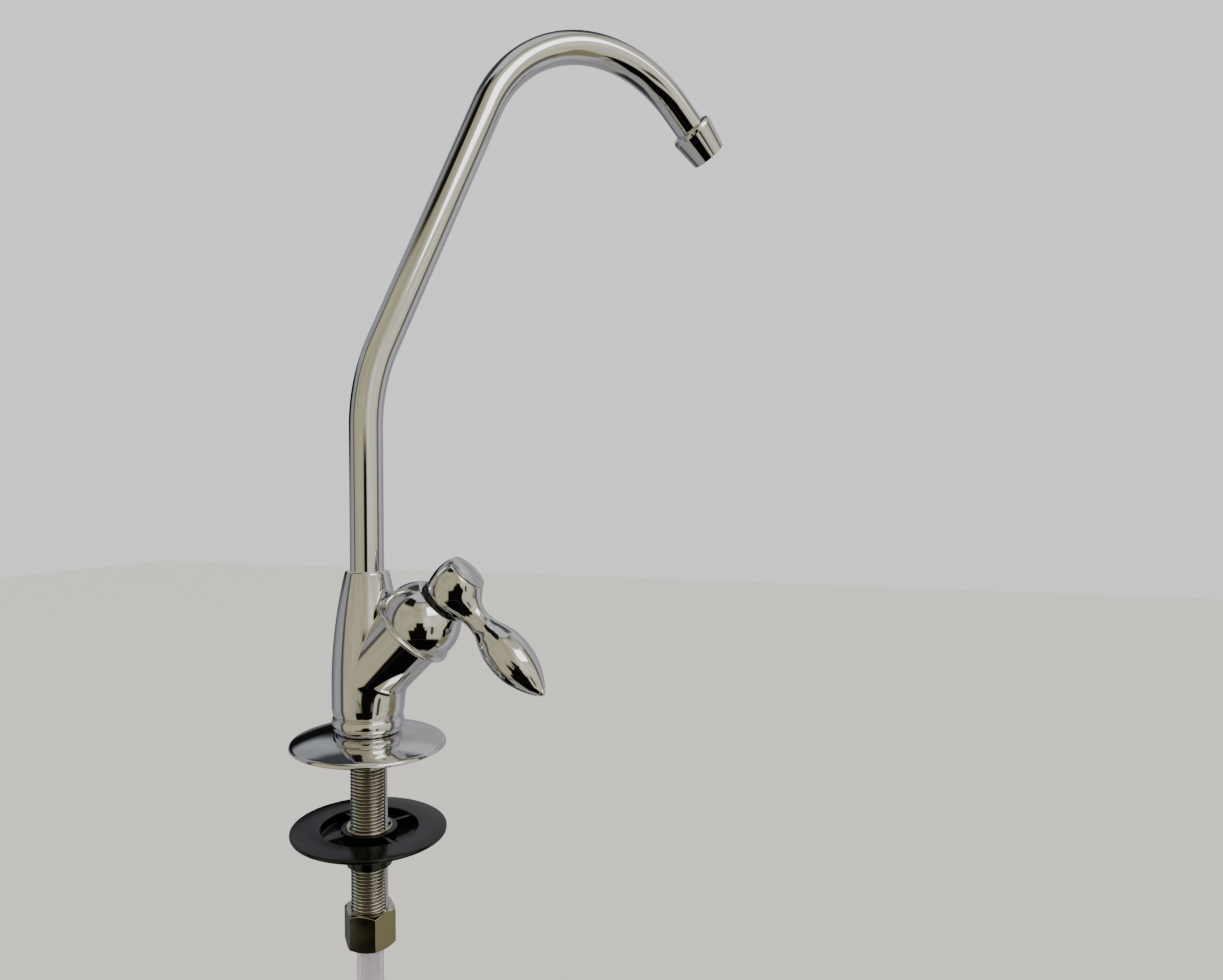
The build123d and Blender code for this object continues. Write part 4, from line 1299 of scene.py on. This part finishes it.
# %% Stage
FLOOR_Z = -262.0
SWEEP_HALF = 3000.0
PAPER = "#E6E3DE"
LAMP_ENERGY = 2.6
LAMP_ANGLE = 50.0
LAMP_COLOUR = (1.0, 0.985, 0.96)
LAMP_TILT = (32.0, 14.0, -20.0)
floor_mesh = bpy.data.meshes.new("floor")
floor_corners = [(-1, -1), (1, -1), (1, 1), (-1, 1)]
floor_mesh.from_pydata(
    [(x * SWEEP_HALF * MM, y * SWEEP_HALF * MM, FLOOR_Z * MM) for x, y in floor_corners], [], [(0, 1, 2, 3)]
)
floor = placed("floor", floor_mesh)
paper, paper_tree = new_material("pale_paper")
paper_look = {"Base Color": linear(PAPER), "Roughness": 0.9}
paper_shader = add(paper_tree, "ShaderNodeBsdfPrincipled", paper_look)
add(paper_tree, "ShaderNodeOutputMaterial", {"Surface": paper_shader.outputs[0]})
floor.data.materials.append(paper)
floor.visible_glossy = False

softbox = bpy.data.lights.new("softbox", "SUN")
softbox.energy = LAMP_ENERGY
softbox.angle = math.radians(LAMP_ANGLE)
softbox.color = LAMP_COLOUR
softbox_holder = placed("softbox", softbox)
softbox_holder.rotation_euler = [math.radians(tilt) for tilt in LAMP_TILT]
softbox_holder.visible_glossy = False
print("on the stage:", floor.name, "and", softbox_holder.name)

# %% [markdown]
# ## The room
# Chrome shows the whole room, so the room matters more than the lamp. It is drawn on the world by direction,
# and only the reflections and the light see it; the camera sees a plain pale backdrop. Each panel has a
# middle and a half size in degrees, as azimuth from the camera's side and elevation, a soft edge, a colour
# and a strength; later panels cover earlier ones. A faint noise keeps the walls from looking like flat
# paint.

# %% Room
CAMERA_SIDE = math.atan2(CAMERA_MM[1], CAMERA_MM[0])
BACKDROP = "#E9EAEA"
ROOM_SIDE = "#A2A4AC"
PANELS = [
    ("floor glow", (0, -75), (180, 30), 16, "#A9A7A3", 1.0),
    ("rear low left", (-174, -42), (18, 20), 12, "#3E4145", 1.0),
    ("rear low right", (178, -42), (8, 20), 10, "#3E4145", 1.0),
    ("ceiling", (0, 80), (180, 26), 10, "#CFCED0", 1.15),
    ("rear high left", (-142, 58), (42, 16), 12, "#44474C", 1.0),
    ("rear high right", (142, 60), (42, 14), 12, "#4A4D53", 1.0),
    ("rear upper left", (-145, 27), (40, 13), 10, "#A4A7AD", 1.05),
    ("rear upper right", (138, 36), (45, 10), 10, "#C9CCCF", 1.2),
    ("rear right light", (142, 18), (36, 14), 12, "#A9A9AD", 1.15),
    ("rear left slate", (-160, -4), (24, 14), 12, "#6E7076", 1.0),
    ("rear left dark", (-156, 11), (34, 9), 9, "#151617", 1.0),
    ("left gap", (-108, 0), (16, 55), 10, "#A9A8AE", 1.05),
    ("right side", (104, 0), (14, 60), 10, "#BDBBC0", 1.2),
    ("wall frame", (-3, 2), (92, 62), 6, "#5C5952", 1.0),
    ("left wall", (-35, 2), (49, 58), 9, "#B3AC92", 1.3),
    ("right wall", (42, 2), (42, 58), 6, "#CFCAB6", 1.2),
    ("right wall glow", (30, 6), (24, 11), 12, "#E2DFCE", 1.35),
    ("right door", (79, -2), (5, 42), 5, "#6E6962", 1.0),
    ("high beam", (-57, 58), (24, 11), 6, "#1F1D1B", 1.0),
    ("window", (34, 34), (19, 11), 6, "#FFFFFF", 4.0),
    ("dark post", (-8, -8), (10, 12), 4, "#17140F", 1.0),
    ("dark shoulder", (-9, -15), (15, 7), 4, "#17140F", 1.0),
    ("right post", (27, -18), (4, 10), 4, "#4A463C", 1.0),
    ("dark card", (-14, -30), (27, 14), 5, "#120F0C", 1.0),
    ("low black card", (4, -60), (60, 19), 8, "#0B0B0C", 1.0),
    ("right sill", (78, -36), (16, 16), 6, "#8F8A6F", 1.0),
]
BACKDROP_STRENGTH = 1.25
ROOM_MOTTLE = 3.5
MOTTLE_RANGE = (0.82, 1.16)


def mask(tree, angle, centre, half, soft):
    """One within half of the centre, nothing beyond it, with a soft edge; the sizes are in degrees."""
    off = add(tree, "ShaderNodeMath", {0: angle.outputs[0], 1: math.radians(centre)}, operation="SUBTRACT")
    size = add(tree, "ShaderNodeMath", {0: off.outputs[0]}, operation="ABSOLUTE")
    edge = {
        "Value": size.outputs[0],
        "From Min": math.radians(half - soft / 2),
        "From Max": math.radians(half + soft / 2),
        "To Min": 1.0,
        "To Max": 0.0,
    }
    return add(tree, "ShaderNodeMapRange", edge, interpolation_type="SMOOTHSTEP").outputs[0]


def room_world():
    """World colour by direction: azimuth = atan2(y, x) after a turn to the camera's side."""
    world = bpy.data.worlds.new("studio")
    world.use_nodes = True
    tree = world.node_tree
    tree.nodes.clear()
    way = add(tree, "ShaderNodeTexCoord").outputs["Generated"]
    turn = {"Vector": way, "Angle": -CAMERA_SIDE}
    turned = add(tree, "ShaderNodeVectorRotate", turn, rotation_type="Z_AXIS").outputs[0]
    parts = add(tree, "ShaderNodeSeparateXYZ", {"Vector": turned})
    sides = {0: parts.outputs["Y"], 1: parts.outputs["X"]}
    azimuth = add(tree, "ShaderNodeMath", sides, operation="ARCTAN2")
    elevation = add(tree, "ShaderNodeMath", {0: parts.outputs["Z"]}, operation="ARCSINE")
    colour = linear(ROOM_SIDE)
    for title, middle, half, soft, shade, strength in PANELS:
        across = mask(tree, azimuth, middle[0], half[0], soft)
        upward = mask(tree, elevation, middle[1], half[1], soft)
        both = add(tree, "ShaderNodeMath", {0: across, 1: upward}, operation="MULTIPLY")
        r, g, b, alpha = linear(shade)
        bright = (strength * r, strength * g, strength * b, alpha)
        mixed = {"Factor": both.outputs[0], "A": colour, "B": bright}
        colour = add(tree, "ShaderNodeMix", mixed, data_type="RGBA", label=title).outputs["Result"]
    noise = add(tree, "ShaderNodeTexNoise", {"Vector": turned, "Scale": ROOM_MOTTLE, "Detail": 5.0})
    mottle = between(tree, noise.outputs["Fac"], *MOTTLE_RANGE)
    room = add(tree, "ShaderNodeBackground", {"Color": colour, "Strength": mottle})
    pale = {"Color": linear(BACKDROP), "Strength": BACKDROP_STRENGTH}
    backdrop = add(tree, "ShaderNodeBackground", pale)
    ray = add(tree, "ShaderNodeLightPath")
    seen = {0: ray.outputs["Is Camera Ray"], 1: ray.outputs["Is Transmission Ray"]}
    straight = add(tree, "ShaderNodeMath", seen, operation="MAXIMUM")
    sights = {0: straight.outputs[0], 1: room.outputs[0], 2: backdrop.outputs[0]}
    light = add(tree, "ShaderNodeMixShader", sights)
    add(tree, "ShaderNodeOutputWorld", {"Surface": light.outputs[0]})
    bpy.context.scene.world = world


room_world()
print("panels in the room:", len(PANELS))
